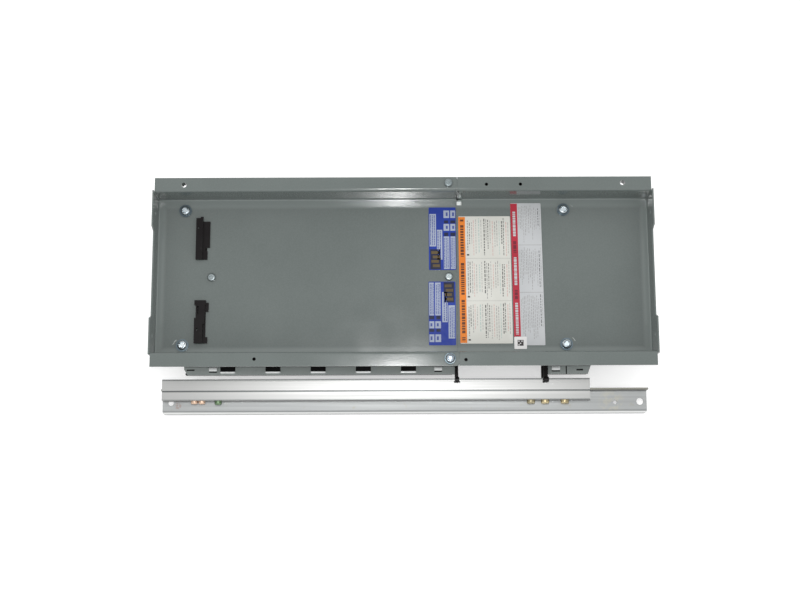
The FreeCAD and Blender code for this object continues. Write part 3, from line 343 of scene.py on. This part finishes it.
def bare_metal(name, tint, second, rough, grain=(1.0, 1.0, 1.0), size=700.0, spots=None,
               spot_tint=None):
    """Plated metal with fine grain along one direction, tone drift and small stains."""
    f = Finish(name)
    streak = f.noise(size, 3.0, f.stretched(*grain), 0.6)
    drift = f.noise(60.0, 3.0, f.stretched(*grain))
    tone = f.blend(f.span(drift, 0.3, 0.7), tint, second)
    tone = f.blend(f.span(streak, 0.3, 0.7, 0.0, 0.35), tone, second)
    if spots:
        stain = f.span(f.noise(130.0, 4.0), *spots)
        tone = f.paint(tone, spot_tint, stain, 0.45)
    roughness = f.span(f.sum("ADD", streak, drift), 0.7, 1.3, rough - 0.04, rough + 0.06)
    f.surface(Base_Color=tone, Metallic=1.0, Roughness=roughness,
              Normal=f.bump(streak, 0.012 * MM, 0.3))
    return f, tone


def plated(*values, **options):
    """The material of a plain plated piece; takes what bare_metal takes."""
    return bare_metal(*values, **options)[0].material


def zinc_head_painted_shade(name, places, tint, second, rings):
    """Zinc screw head with painted dark rings around its axis, which stand for the shade in its recess
    and in the gap round it; rings are (radius, half, share).
    """
    f, tone = bare_metal(name, tint, second, 0.28, size=500.0)
    away = f.from_axis(places)
    # Painted shade: each ring darkens the zinc where the recess or the gap round the head lies in
    # shadow.
    for radius, half, share in rings:
        tone = f.paint(tone, srgb(48, 58, 66), f.band(away, radius, half), share)
    f.surface(Base_Color=tone)
    return f.material


def clip_steel():
    """Satin seam clip: dull up the wall, polished where its foot rests on the floor, and with painted
    shade along its left side for the slit beside it.
    """
    f = Finish("clip_steel")
    clip_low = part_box("seam_clip")[0]
    foot = f.span(f.axis("Y"), clip_low.y + 2.2 * MM, clip_low.y + 3.6 * MM, 1.0, 0.0)
    grain = f.noise(900.0, 3.0, f.stretched(1.0, 0.05, 0.05))
    tone = f.blend(f.span(grain, 0.3, 0.7), srgb(104, 112, 110), srgb(88, 96, 94))
    # Painted shade: a dark band along the clip's left side stands for the shadowed slit next to it.
    gap = f.span(f.axis("X"), clip_low.x + 1.1 * MM, clip_low.x + 1.6 * MM, 1.0, 0.0)
    tone = f.paint(tone, srgb(24, 26, 26), gap, 0.85)
    tone = f.paint(tone, srgb(188, 192, 191), foot)
    f.surface(Base_Color=tone, Metallic=0.5, Roughness=f.span(grain, 0.3, 0.7, 0.24, 0.34),
              Normal=f.bump(grain, 0.02 * MM, 0.4))
    return f.material


def rail_aluminium():
    """Extruded aluminium: brushed along its length, with painted shade in the groove, along its far
    edge and, fainter, along its near edge.
    """
    f, tone = bare_metal("rail_aluminium", srgb(153, 153, 152), srgb(142, 143, 142), 0.40,
                         grain=(0.004, 1.0, 1.0), size=1600.0)
    rail_low, rail_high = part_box("neutral_rail")
    y = f.axis("Y")
    groove_share = 0.424
    groove = rail_low.y + groove_share * (rail_high.y - rail_low.y)
    from_edge = 0.4 * MM
    # Painted shade: dark lines stand for the shadow in the groove and at the rail's two long edges.
    lines = ((groove, 0.75 * MM, 0.8), (rail_high.y - from_edge, 0.7 * MM, 0.75),
             (rail_low.y + from_edge, 0.4 * MM, 0.4))
    for centre, half, share in lines:
        tone = f.paint(tone, srgb(76, 80, 80), f.band(y, centre, half), share)
    f.surface(Base_Color=tone)
    return f.material


def carrier_steel():
    """Galvanised steel: a water stain round its small hole, one brown mark at the left, painted shade
    on the standing leg, and a painted highlight on the near bend."""
    f, tone = bare_metal("galvanised_steel", srgb(150, 152, 152), srgb(140, 142, 142), 0.48,
                         grain=(0.01, 1.0, 1.0), spots=(0.62, 0.76), spot_tint=srgb(138, 134, 122))
    carrier_low, carrier_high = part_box("rail_carrier")
    plate_height = 14.0 * MM
    plate = carrier_low.z + plate_height
    blotch = f.span(f.noise(260.0, 4.0), 0.42, 0.62)
    stain = f.near((carrier_high.x - 30 * MM, carrier_low.y + 8 * MM, plate), 13 * MM)
    tone = f.paint(tone, srgb(168, 162, 140), stain, blotch, 0.25)
    mark = f.near((carrier_low.x + 13 * MM, carrier_low.y + 6.2 * MM, plate), 3.4 * MM)
    flecks = f.span(f.noise(700.0, 3.0), 0.35, 0.6)
    tone = f.paint(tone, srgb(128, 104, 96), mark, flecks, 0.6)
    height = f.axis("Z")
    # Painted shade: the standing leg is darkened where it faces away from the light.
    leg = f.span(height, plate + 3 * MM, plate + 6 * MM)
    tone = f.paint(tone, srgb(108, 106, 96), leg, 0.75)
    # Painted highlight: the near bend is painted almost white, as if it caught the light.
    bend = f.all_of(f.span(height, plate - 1.4 * MM, plate - 0.3 * MM, 1.0, 0.0),
                    f.span(height, plate - 12 * MM, plate - 2 * MM))
    tone = f.paint(tone, srgb(226, 227, 226), bend, 0.8)
    f.surface(Base_Color=tone)
    return f.material


def nylon(name, tint, rough):
    """Moulded plastic: fine texture, dusty high spots and a slight sheen."""
    f = Finish(name)
    dust = f.span(f.noise(220.0, 4.0), 0.55, 0.8)
    tone = f.paint(tint, srgb(60, 58, 58), dust, 0.12)
    edge = f.worn_edges(0.25 * MM)
    tone = f.paint(tone, srgb(74, 72, 70), edge, 0.25)
    roughness = f.span(f.noise(90.0, 3.0), 0.3, 0.7, rough - 0.06, rough + 0.1)
    f.surface(Base_Color=tone, Roughness=roughness, Specular_IOR_Level=0.12,
              Normal=f.bump(f.noise(1800.0, 2.0), 0.02 * MM, 0.5))
    return f.material


def print_stock(name, tint, second):
    """Printed label stock: paper fibre, faint handling marks and a soft varnish."""
    f = Finish(name)
    fibre = f.noise(2600.0, 3.0)
    tone = f.blend(f.span(f.noise(45.0, 3.0), 0.3, 0.7), tint, second)
    tone = f.blend(f.span(fibre, 0.35, 0.65, 0.0, 0.18), tone, second)
    f.surface(Base_Color=tone, Roughness=f.span(f.noise(300.0, 3.0), 0.3, 0.7, 0.37, 0.50),
              Specular_IOR_Level=0.2, Normal=f.bump(fibre, 0.01 * MM, 0.4))
    return f.material


finishes = {
    "grey_enamel": dead_front_enamel(),
    "zinc_plate": plated("zinc_plate", srgb(196, 204, 210), srgb(140, 150, 158), 0.26, size=500.0,
                         spots=(0.58, 0.72), spot_tint=srgb(176, 168, 130)),
    "black_oxide": plated("black_oxide", srgb(92, 103, 108), srgb(68, 78, 84), 0.34, size=500.0,
                          spots=(0.60, 0.74), spot_tint=srgb(128, 134, 136)),
    "galvanised_steel": carrier_steel(),
    "rail_aluminium": rail_aluminium(),
    "plated_bus": plated("plated_bus", srgb(188, 188, 184), srgb(160, 160, 156), 0.35,
                         grain=(0.05, 1.0, 1.0), spots=(0.6, 0.72), spot_tint=srgb(140, 134, 122)),
    "lug_aluminium": plated("lug_aluminium", srgb(190, 192, 194), srgb(165, 168, 170), 0.4,
                            grain=(0.05, 1.0, 1.0)),
    "brass": plated("brass", srgb(204, 192, 158), srgb(168, 154, 120), 0.40,
                    spots=(0.48, 0.64), spot_tint=srgb(112, 98, 70)),
    "copper": plated("copper", srgb(220, 196, 176), srgb(204, 176, 154), 0.48,
                     spots=(0.56, 0.70), spot_tint=srgb(150, 116, 96)),
    "green_screw": plated("green_screw", srgb(122, 142, 114), srgb(98, 120, 94), 0.46,
                          spots=(0.56, 0.7), spot_tint=srgb(150, 168, 150)),
    "black_phenolic": nylon("black_phenolic", srgb(24, 24, 25), 0.5),
    "black_nylon": nylon("black_nylon", srgb(15, 12, 13), 0.38),
    "orange_print": print_stock("orange_print", srgb(206, 116, 34), srgb(192, 106, 30)),
    "red_print": print_stock("red_print", srgb(162, 36, 54), srgb(148, 32, 48)),
    "blue_print": print_stock("blue_print", srgb(18, 48, 138), srgb(16, 42, 124)),
    "sticker_print": print_stock("sticker_print", srgb(204, 203, 202), srgb(196, 195, 194)),
}
pan_finish = pan_enamel_painted_light()
small_zinc = plated("small_zinc", srgb(146, 154, 155), srgb(116, 125, 127), 0.32, size=500.0,
                    spots=(0.56, 0.7), spot_tint=srgb(96, 104, 104))
corner_zinc_painted_shade = zinc_head_painted_shade("corner_zinc_painted_shade", corner_screws, srgb(214, 221, 224), srgb(172, 182, 187),
                        ((2.5 * MM, 0.35 * MM, 0.55), (3.8 * MM, 0.35 * MM, 0.5)))
own_finish = {
    "rear_pan": pan_finish,
    "right_bracket_far": pan_finish,
    "right_bracket_near": pan_finish,
    "seam_clip": clip_steel(),
    "captive_screw": zinc_head_painted_shade("captive_zinc_painted_shade", [middle("captive_washer")],
                               srgb(150, 155, 160), srgb(120, 126, 132),
                               ((1.9 * MM, 0.45 * MM, 0.9), (3.6 * MM, 0.5 * MM, 0.9))),
    # Dark phenolic on the blind nuts stands in for the shade inside their bores.
    "blind_nuts": finishes["black_phenolic"],
    "terminal_screw_1": plated("dull_brass", srgb(170, 162, 136), srgb(140, 132, 108), 0.48),
    "cover_screw_left": small_zinc,
    "seam_screws": small_zinc,
}
for node in ("cover_corner_screws", "barrier_corner_screws"):
    own_finish[node] = corner_zinc_painted_shade
inks = {
    "cream": print_stock("cream_paper", srgb(190, 190, 184), srgb(182, 182, 176)),
    "white": print_stock("white_paper", srgb(172, 174, 176), srgb(164, 166, 168)),
    "pale_blue": print_stock("pale_blue_ink", srgb(148, 156, 172), srgb(138, 146, 164)),
    "navy": print_stock("navy_ink", srgb(20, 26, 56), srgb(16, 22, 46)),
    "bright_blue": print_stock("bright_blue_ink", srgb(62, 76, 136), srgb(54, 68, 126)),
    "gold": print_stock("gold_ink", srgb(86, 72, 44), srgb(70, 58, 40)),
    "brown": print_stock("brown_ink", srgb(92, 48, 20), srgb(78, 40, 18)),
    "grey": print_stock("grey_ink", srgb(138, 138, 136), srgb(128, 128, 126)),
    "dark": print_stock("dark_ink", srgb(84, 84, 83), srgb(72, 72, 71)),
    "black": print_stock("black_ink", srgb(52, 48, 48), srgb(42, 40, 40)),
    "pink": print_stock("pink_ink", srgb(184, 150, 145), srgb(176, 142, 136)),
    "teal": print_stock("teal_ink", srgb(150, 170, 166), srgb(142, 162, 158)),
    "maroon": print_stock("maroon_ink", srgb(108, 28, 44), srgb(94, 24, 38)),
}

# ---------------------------------------------------------------- finish on every CAD node
slots = {part["node"]: part["material_slot"] for part in frame["record"]["subparts"]}
EDGE_WIDTHS = {
    "grey_enamel": 0.2 * MM,
    "galvanised_steel": 0.2 * MM,
    "rail_aluminium": 0.15 * MM,
    "plated_bus": 0.2 * MM,
    "lug_aluminium": 0.2 * MM,
    "black_phenolic": 0.25 * MM,
    "black_nylon": 0.25 * MM,
}


def round_edges(piece, width, angle):
    """Rounds the edges that turn by more than an angle in degrees, so that they catch the light."""
    bevel = piece.modifiers.new("bevel", "BEVEL")
    bevel.width = width
    bevel.segments = 2
    bevel.limit_method = "ANGLE"
    bevel.angle_limit = math.radians(angle)


def soften(piece, width):
    """Joins a CAD node's triangles into whole faces and rounds its sharp edges."""
    weld = piece.modifiers.new("weld", "WELD")
    weld.merge_threshold = 0.001 * MM
    whole = piece.modifiers.new("whole_faces", "DECIMATE")
    whole.decimate_type = "DISSOLVE"
    whole.angle_limit = math.radians(0.5)
    round_edges(piece, width, 35)
    piece.modifiers.new("normals", "WEIGHTED_NORMAL")


for name, piece in cad.items():
    piece.data.materials.clear()
    piece.data.materials.append(own_finish.get(name) or finishes[slots[name]])
    if slots[name] in EDGE_WIDTHS:
        soften(piece, EDGE_WIDTHS[slots[name]])


# ---------------------------------------------------------------- making pieces
def add_piece(name, shape, materials, body):
    """Makes a piece of a finished bmesh, with its materials, on its body."""
    bmesh.ops.recalc_face_normals(shape, faces=shape.faces)
    mesh = bpy.data.meshes.new(name)
    shape.to_mesh(mesh)
    shape.free()
    for material in materials:
        mesh.materials.append(material)
    piece = bpy.data.objects.new(name, mesh)
    bpy.context.scene.collection.objects.link(piece)
    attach(piece, body)
    return piece


def circle(shape, centre, radius, sides, stretch=1.0):
    """Adds the vertices of a level circle; stretch makes it longer along Y."""
    ring = []
    for k in range(sides):
        angle = math.tau * k / sides
        x = centre[0] + radius * math.cos(angle)
        y = centre[1] + stretch * radius * math.sin(angle)
        ring.append(shape.verts.new((x, y, centre[2])))
    return ring


def skin(shape, rings, closed=False):
    """Joins each ring of vertices to the next one, with a cap on both ends or round to the first."""
    sides = len(rings[0])
    followers = rings[1:] + rings[:1] if closed else rings[1:]
    for ring, after in zip(rings, followers):
        for k in range(sides):
            j = (k + 1) % sides
            shape.faces.new((ring[k], ring[j], after[j], after[k]))
    if not closed:
        shape.faces.new(rings[0])
        shape.faces.new(rings[-1])


# ---------------------------------------------------------------- printed labels
class PrintedLabel:
    """A label slab with raised print. Places on it are shares: u to the right, v towards the rail."""

    INK_STEP = 0.012 * MM
    CORNER_RADIUS = 0.8 * MM

    def __init__(self, node, skew=0.0, turned=False):
        """Starts the label of a CAD node; skew is how far its near edge sits to the right."""
        self.node = node
        self.low, self.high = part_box(node)
        self.skew = skew
        self.turned = turned
        self.shape = bmesh.new()
        self.materials = []
        self.slab()

    def spot(self, u, v):
        """The place in the frame of a share of the label's width and height."""
        if self.turned:
            u, v = 1 - u, 1 - v
        width = self.high.x - self.low.x - self.skew
        height = self.high.y - self.low.y
        return (self.low.x + u * width + v * self.skew, self.high.y - v * height)

    def material(self, name):
        """The slot number of an ink, which is added when it's new."""
        if name not in self.materials:
            self.materials.append(name)
        return self.materials.index(name)

    def prism(self, corners, z0, z1, name):
        """A closed flat block over an outline."""
        bottom = [self.shape.verts.new((x, y, z0)) for x, y in corners]
        top = [self.shape.verts.new((x, y, z1)) for x, y in corners]
        count = len(corners)
        faces = [self.shape.faces.new(bottom), self.shape.faces.new(top)]
        for i in range(count):
            j = (i + 1) % count
            faces.append(self.shape.faces.new((bottom[i], bottom[j], top[j], top[i])))
        for face in faces:
            face.material_index = self.material(name)

    def slab(self):
        """The label itself, with die-cut round corners."""
        radius = self.CORNER_RADIUS
        left, right = self.low.x + radius, self.high.x - self.skew - radius
        near, far = self.low.y + radius, self.high.y - radius
        corners = []
        for x, y, lean, start in ((left, far, 0, 180), (right, far, 0, 90),
                                  (right, near, self.skew, 0), (left, near, self.skew, -90)):
            for step in range(5):
                angle = math.radians(start - 22.5 * step)
                corners.append((x + lean + radius * math.cos(angle), y + radius * math.sin(angle)))
        self.prism(corners, self.low.z, self.high.z, "slab")

    def ink(self, name, u0, u1, v0, v1, level=1):
        """A printed rectangle, a hair above the slab or above the print under it."""
        corners = [self.spot(u0, v0), self.spot(u1, v0), self.spot(u1, v1), self.spot(u0, v1)]
        top = self.high.z + level * self.INK_STEP
        self.prism(corners, top - 2 * self.INK_STEP, top, name)

    def bars(self, name, u0, u1, v0, v1, longest, level=2, gap=0.008):
        """A run of short bars of uneven length that stands for a line of print."""
        v = v0
        while v < v1:
            end = min(v + random.uniform(0.3, 1.0) * longest, v1)
            if end - v > 0.2 * longest:
                self.ink(name, u0, u1, v, end, level)
            v = end + gap

    def finish(self, body, slab_finish):
        """Puts the label on its body, in place of the CAD's plain one."""
        materials = [slab_finish if name == "slab" else inks.get(name) or finishes[name]
                     for name in self.materials]
        piece = add_piece(self.node + "_print", self.shape, materials, body)
        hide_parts(self.node)


def circuit_label(node, turned):
    """Blue label: white boxes with fine blue bars, small squares and one gold patch."""
    label = PrintedLabel(node, turned=turned)
    boxes = ((0.03, 0.27, 0.105, 0.625, 3), (0.30, 0.50, 0.36, 0.835, 2),
             (0.55, 0.76, 0.467, 0.985, 3), (0.80, 0.98, 0.467, 0.985, 3))
    for u0, u1, v0, v1, lines in boxes:
        label.ink("pale_blue", u0, u1, v0, v1)
        pitch = (u1 - u0) / (lines + 0.4)
        for line in range(lines):
            start = u0 + pitch * (line + 0.3)
            label.bars("bright_blue", start, start + pitch * 0.42, v0 + 0.02, v1 - 0.02, longest=0.05)
    for u0, u1 in ((0.55, 0.76), (0.80, 0.98)):
        for v0, v1 in ((0.05, 0.17), (0.265, 0.375)):
            label.ink("pale_blue", u0, u1, v0, v1)
            centre = (u0 + u1) / 2
            label.ink("bright_blue", centre - 0.02, centre + 0.05, v0 + 0.03, v1 - 0.03, 2)
    for u0, u1 in ((0.57, 0.72), (0.80, 0.98)):
        label.ink("navy", u0, u1, 0.21, 0.255)
        label.ink("navy", u0, u1, 0.405, 0.46)
    label.ink("navy", 0.05, 0.44, 0.67, 0.99)
    for row in range(4):
        v = 0.70 + row * 0.07
        aside = row % 2
        label.ink("gold", 0.09 + 0.05 * aside, 0.36 + 0.04 * aside, v, v + 0.045, 2)
    label.finish("cover", finishes["blue_print"])


def panel_print(label, columns, splits):
    """Lines of fine print along v between splits; columns are (ink, u, width), alike in every panel."""
    for top, bottom in zip(splits, splits[1:]):
        for name, u, width in columns:
            start = top + random.uniform(0.015, 0.05)
            end = bottom - random.uniform(0.015, 0.14)
            label.bars(name, u, u + width, start, end, longest=0.028, level=1, gap=0.007)


def orange_label():
    """Cream label with an orange strip of broken brown bars and three panels of fine print."""
    label = PrintedLabel("orange_label", skew=0.7 * MM)
    label.ink("orange_print", 0.0, 0.13, 0.005, 0.995)
    for v0, v1 in ((0.025, 0.05), (0.07, 0.32), (0.37, 0.62), (0.66, 0.93), (0.95, 0.975)):
        label.bars("brown", 0.035, 0.10, v0, v1, longest=0.022, gap=0.006)
    splits = (0.0, 0.333, 0.667, 1.0)
    for v in splits[1:-1]:
        label.ink("grey", 0.14, 0.99, v, v + 0.002)
    columns = (("grey", 0.165, 0.02), ("dark", 0.205, 0.014), ("grey", 0.25, 0.012),
               ("pink", 0.285, 0.012), ("grey", 0.33, 0.010), ("teal", 0.385, 0.016),
               ("grey", 0.43, 0.010), ("dark", 0.485, 0.020), ("grey", 0.525, 0.014),
               ("dark", 0.56, 0.014), ("grey", 0.605, 0.010), ("pink", 0.65, 0.012),
               ("grey", 0.695, 0.012), ("grey", 0.735, 0.012), ("teal", 0.78, 0.010),
               ("dark", 0.825, 0.018), ("dark", 0.86, 0.014), ("pink", 0.91, 0.014),
               ("grey", 0.95, 0.010))
    panel_print(label, columns, splits)
    for v in (0.30, 0.63, 0.965):
        label.ink("black", 0.155, 0.20, v, v + 0.012, 2)
    label.finish("barrier", inks["cream"])


def red_label():
    """White label with a red strip of white and dark bars and three panels of fine grey print."""
    label = PrintedLabel("red_label", skew=1.4 * MM)
    label.ink("red_print", 0.0, 0.22, 0.003, 0.945)
    for v0, v1 in ((0.06, 0.235), (0.385, 0.58), (0.705, 0.925)):
        label.bars("white", 0.065, 0.155, v0, v1, longest=0.02, gap=0.004)
    for v0, v1 in ((0.27, 0.355), (0.615, 0.68)):
        label.bars("maroon", 0.06, 0.16, v0, v1, longest=0.03, gap=0.005)
    label.ink("maroon", 0.06, 0.17, 0.935, 0.943, 2)
    splits = (0.0, 0.296, 0.63, 1.0)
    for v in splits[1:-1]:
        label.ink("grey", 0.23, 0.99, v, v + 0.003)
    columns = (("grey", 0.26, 0.014), ("grey", 0.31, 0.018), ("grey", 0.36, 0.018),
               ("grey", 0.41, 0.014), ("grey", 0.47, 0.018), ("grey", 0.52, 0.014),
               ("grey", 0.58, 0.018), ("grey", 0.64, 0.018), ("grey", 0.70, 0.014),
               ("grey", 0.76, 0.018), ("grey", 0.82, 0.014), ("dark", 0.885, 0.022),
               ("grey", 0.94, 0.012))
    panel_print(label, columns, splits)
    label.finish("barrier", inks["white"])


def square_sticker():
    """Small white sticker with a plain pattern of dark squares."""
    label = PrintedLabel("square_sticker")
    label.ink("black", 0.26, 0.74, 0.26, 0.74)
    for u, v in ((0.32, 0.32), (0.56, 0.32), (0.44, 0.50), (0.32, 0.62)):
        label.ink("sticker_print", u, u + 0.10, v, v + 0.08, 2)
    label.finish("barrier", finishes["sticker_print"])


# ---------------------------------------------------------------- cable ties
def rounded_loop(y0, y1, z0, z1, radius, pitch):
    """Evenly spaced places and outward directions around a rounded rectangle in the YZ plane.
    Each corner is (y, z, angle where its turn starts), after the straight that leads up to it."""
    straight_y, straight_z = y1 - y0 - 2 * radius, z1 - z0 - 2 * radius
    turn = radius * math.pi / 2
    total = 2 * (straight_y + straight_z) + 4 * turn
    corners = ((y1 - radius, z0 + radius, -90), (y1 - radius, z1 - radius, 0),
               (y0 + radius, z1 - radius, 90), (y0 + radius, z0 + radius, 180))
    count = round(total / pitch)
    stations = []
    for i in range(count):
        run = i * total / count
        for number, (y, z, start) in enumerate(corners):
            straight = straight_y if number % 2 == 0 else straight_z
            if run < straight + turn:
                short = max(straight - run, 0.0)
                angle = math.radians(start) + max(run - straight, 0.0) / radius
                out = Vector((0, math.cos(angle), math.sin(angle)))
                ahead = Vector((0, -out.z, out.y))
                stations.append((Vector((0, y, z)) + out * radius - ahead * short, out))
                break
            run -= straight + turn
    return stations


TIE_THICKNESS = 1.2 * MM
TOOTH_DEPTH = 0.32 * MM
HEAD_RISE = 2.8 * MM
HEAD_LENGTH = 4.8 * MM
HEAD_HEIGHT = 4.5 * MM


def cable_tie(node, width):
    """Nylon tie: a strap with moulded teeth around its loop, and a head with the cut end."""
    low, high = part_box(node)
    x = (low.x + high.x) / 2
    half, flat = width / 2, width * 0.34
    shape = bmesh.new()
    rings = []
    stations = rounded_loop(low.y, high.y, low.z, high.z - HEAD_RISE, 2.6 * MM, 0.3 * MM)
    for i, (place, out) in enumerate(stations):
        tooth = TOOTH_DEPTH if i % 4 < 2 else 0.0
        shoulder = tooth * 0.3 + 0.25 * MM
        section = ((-half, -TIE_THICKNESS), (half, -TIE_THICKNESS), (half, -shoulder), (flat, -tooth),
                   (-flat, -tooth), (-half, -shoulder))
        rings.append([shape.verts.new(place + out * depth + Vector((x + side, 0, 0)))
                      for side, depth in section])
    skin(shape, rings, closed=True)
    tie_head(shape, x, low.y, high.x - low.x, high.z)
    piece = add_piece(node + "_nylon", shape, [finishes["black_nylon"]], "chassis")
    round_edges(piece, 0.12 * MM, 50)
    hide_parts(node)


def tie_head(shape, x, near, width, top):
    """Tapered head on the rail, with the strap's cut end standing out of it. The profile is
    (share of length, share of height); the layers are (share of width, swell of the profile)."""
    profile = ((0.0, 0.2), (0.04, 0.75), (0.2, 0.97), (0.5, 1.0), (0.8, 0.95), (0.96, 0.7),
               (1.0, 0.15), (0.9, 0.0), (0.1, 0.0))
    layers = ((-0.5, 0.62), (-0.46, 0.84), (-0.34, 1.0), (0.34, 1.0), (0.46, 0.84), (0.5, 0.62))
    rings = []
    for side, swell in layers:
        ring = []
        for along, up in profile:
            y = near + HEAD_LENGTH * (0.5 + (along - 0.5) * swell)
            z = top - HEAD_HEIGHT * (0.5 - (up - 0.5) * swell)
            ring.append(shape.verts.new((x + side * width, y, z)))
        rings.append(ring)
    skin(shape, rings)
    cut_end = ((-0.6, -0.5), (1.3, -0.5), (1.6, 0.6), (-0.6, 0.6))
    sides = [[shape.verts.new((x + side * width, near + HEAD_LENGTH + along * MM,
                               top - HEAD_HEIGHT / 2 + up * MM)) for along, up in cut_end]
             for side in (-0.3, 0.3)]
    skin(shape, sides)


# ---------------------------------------------------------------- blind nut and corner welds
def cover_blind_nut():
    """Nut behind the hole in the cover's near flange, in dark phenolic that stands in for the shade
    inside its bore; turned from (radius, height) points that go up its outside and down into its bore."""
    profile = ((2.6 * MM, -8.0 * MM), (3.2 * MM, -7.4 * MM), (3.2 * MM, -0.3 * MM),
               (2.9 * MM, -0.02 * MM), (1.5 * MM, -0.02 * MM), (1.3 * MM, -0.3 * MM),
               (1.3 * MM, -6.8 * MM), (0.9 * MM, -7.0 * MM))
    hole = Vector((-120.5 * MM, -72.5 * MM, FRONT - SHEET))
    shape = bmesh.new()
    skin(shape, [circle(shape, hole + Vector((0, 0, height)), radius, sides=32)
                 for radius, height in profile])
    add_piece("cover_blind_nut", shape, [finishes["black_phenolic"]], "cover")


def corner_welds(body, node, end):
    """Painted weld beads that close the tray's two corners at one end wall: a thin top, a wide foot
    and slow ripples on the way."""
    low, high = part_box(node)
    end_inset, wall_inset = 1.45 * MM, 11.6 * MM
    below_floor, below_front = 0.6 * MM, 1.6 * MM
    x = low.x + end_inset if end < 0 else high.x - end_inset
    shape = bmesh.new()
    steps = 80
    for wall in (-1, 1):
        y = wall * ((high.y - low.y) / 2 - wall_inset)
        rings = []
        for i in range(steps + 1):
            share = i / steps
            z = TRAY_FLOOR - below_floor + share * (FRONT - TRAY_FLOOR + below_floor - below_front)
            top = min(1.0, 0.5 + 6 * (1 - share))
            foot = max(0.0, 0.6 - 6 * share)
            ripple = 0.02 * math.sin(i * 1.3) + 0.03 * math.sin(i * 0.41 + end)
            radius = (0.70 + ripple) * MM * (top + foot)
            rings.append(circle(shape, (x, y, z), radius, sides=10, stretch=1.8))
        skin(shape, rings)
    for face in shape.faces:
        face.smooth = len(face.verts) == 4
    add_piece(body + "_corner_welds", shape, [finishes["grey_enamel"]], body)


cover_blind_nut()
corner_welds("cover", "cover_sheet", -1)
corner_welds("barrier", "barrier_sheet", 1)
random.seed(7)
circuit_label("circuit_label_far", False)
circuit_label("circuit_label_near", True)
orange_label()
red_label()
square_sticker()
cable_tie("cable_tie_left", 2.2 * MM)
cable_tie("cable_tie_right", 3.6 * MM)


# ---------------------------------------------------------------- studio
TENT_HORIZON = 1.40
TENT_TOP = 0.86
TABLE_GLOW = 0.45
KEY_PLACE = (-0.006, -0.123, 1.25)
KEY_TARGET = (-0.006, -0.118, 0.0)
KEY_WIDTH = 0.03
KEY_LENGTH = 0.375
KEY_WATTS = 6.7


def floor():
    """Pale table under the object, lit a little from below so that shadows on it stay light."""
    mesh = bpy.data.meshes.new("studio_floor")
    shape = bmesh.new()
    bmesh.ops.create_grid(shape, x_segments=2, y_segments=2, size=6.0)
    shape.to_mesh(mesh)
    shape.free()
    piece = bpy.data.objects.new("studio_floor", mesh)
    piece.location = (0, 0, cad_low.z - 0.05 * MM)
    bpy.context.scene.collection.objects.link(piece)
    f = Finish("studio_floor")
    white = (1, 1, 1, 1)
    tone = f.blend(f.noise(3.0), (0.64, 0.64, 0.64, 1), (0.66, 0.66, 0.66, 1))
    f.surface(Base_Color=tone, Roughness=0.6, Emission_Color=white, Emission_Strength=TABLE_GLOW)
    mesh.materials.append(f.material)


def key_softbox():
    """One long softbox just behind the camera, which draws the highlights along the flanges."""
    data = bpy.data.lights.new("key_softbox", "AREA")
    data.shape = "RECTANGLE"
    data.size = KEY_WIDTH
    data.size_y = KEY_LENGTH
    data.energy = KEY_WATTS
    piece = bpy.data.objects.new("key_softbox", data)
    piece.location = KEY_PLACE
    aim = Vector(KEY_TARGET) - Vector(KEY_PLACE)
    piece.rotation_euler = aim.to_track_quat("-Z", "Y").to_euler()
    bpy.context.scene.collection.objects.link(piece)


def tent():
    """A white tent all around, brighter towards the horizon than overhead."""
    world = bpy.data.worlds.new("tent")
    world.use_nodes = True
    nodes = world.node_tree.nodes
    link = world.node_tree.links.new
    sky = nodes["Background"]
    sky.inputs["Color"].default_value = (1.0, 1.0, 1.0, 1.0)
    split = nodes.new("ShaderNodeSeparateXYZ")
    level = nodes.new("ShaderNodeMapRange")
    link(nodes.new("ShaderNodeTexCoord").outputs["Generated"], split.inputs[0])
    link(split.outputs["Z"], level.inputs["Value"])
    level.inputs["To Min"].default_value = TENT_HORIZON
    level.inputs["To Max"].default_value = TENT_TOP
    link(level.outputs["Result"], sky.inputs["Strength"])
    bpy.context.scene.world = world


def camera():
    """Above the panel and a little towards the rail, looking back up at it."""
    data = bpy.data.cameras.new("camera")
    data.sensor_width = 36.0
    data.lens = 61.82
    piece = bpy.data.objects.new("camera", data)
    aside, towards_rail, above = -0.01008 * LENGTH, -0.55056 * LENGTH, 2.65462 * LENGTH
    piece.location = (aside, towards_rail, FRONT + above)
    turn = Matrix.Identity(4)
    for axis, degrees in (("Y", -0.0691), ("X", 10.4776), ("Z", -0.2240)):
        turn = turn @ Matrix.Rotation(math.radians(degrees), 4, axis)
    piece.rotation_euler = turn.to_euler()
    bpy.context.scene.collection.objects.link(piece)
    bpy.context.scene.camera = piece


floor()
tent()
key_softbox()
camera()
bpy.context.scene.view_settings.view_transform = "Standard"
bpy.context.scene.cycles.caustics_reflective = False
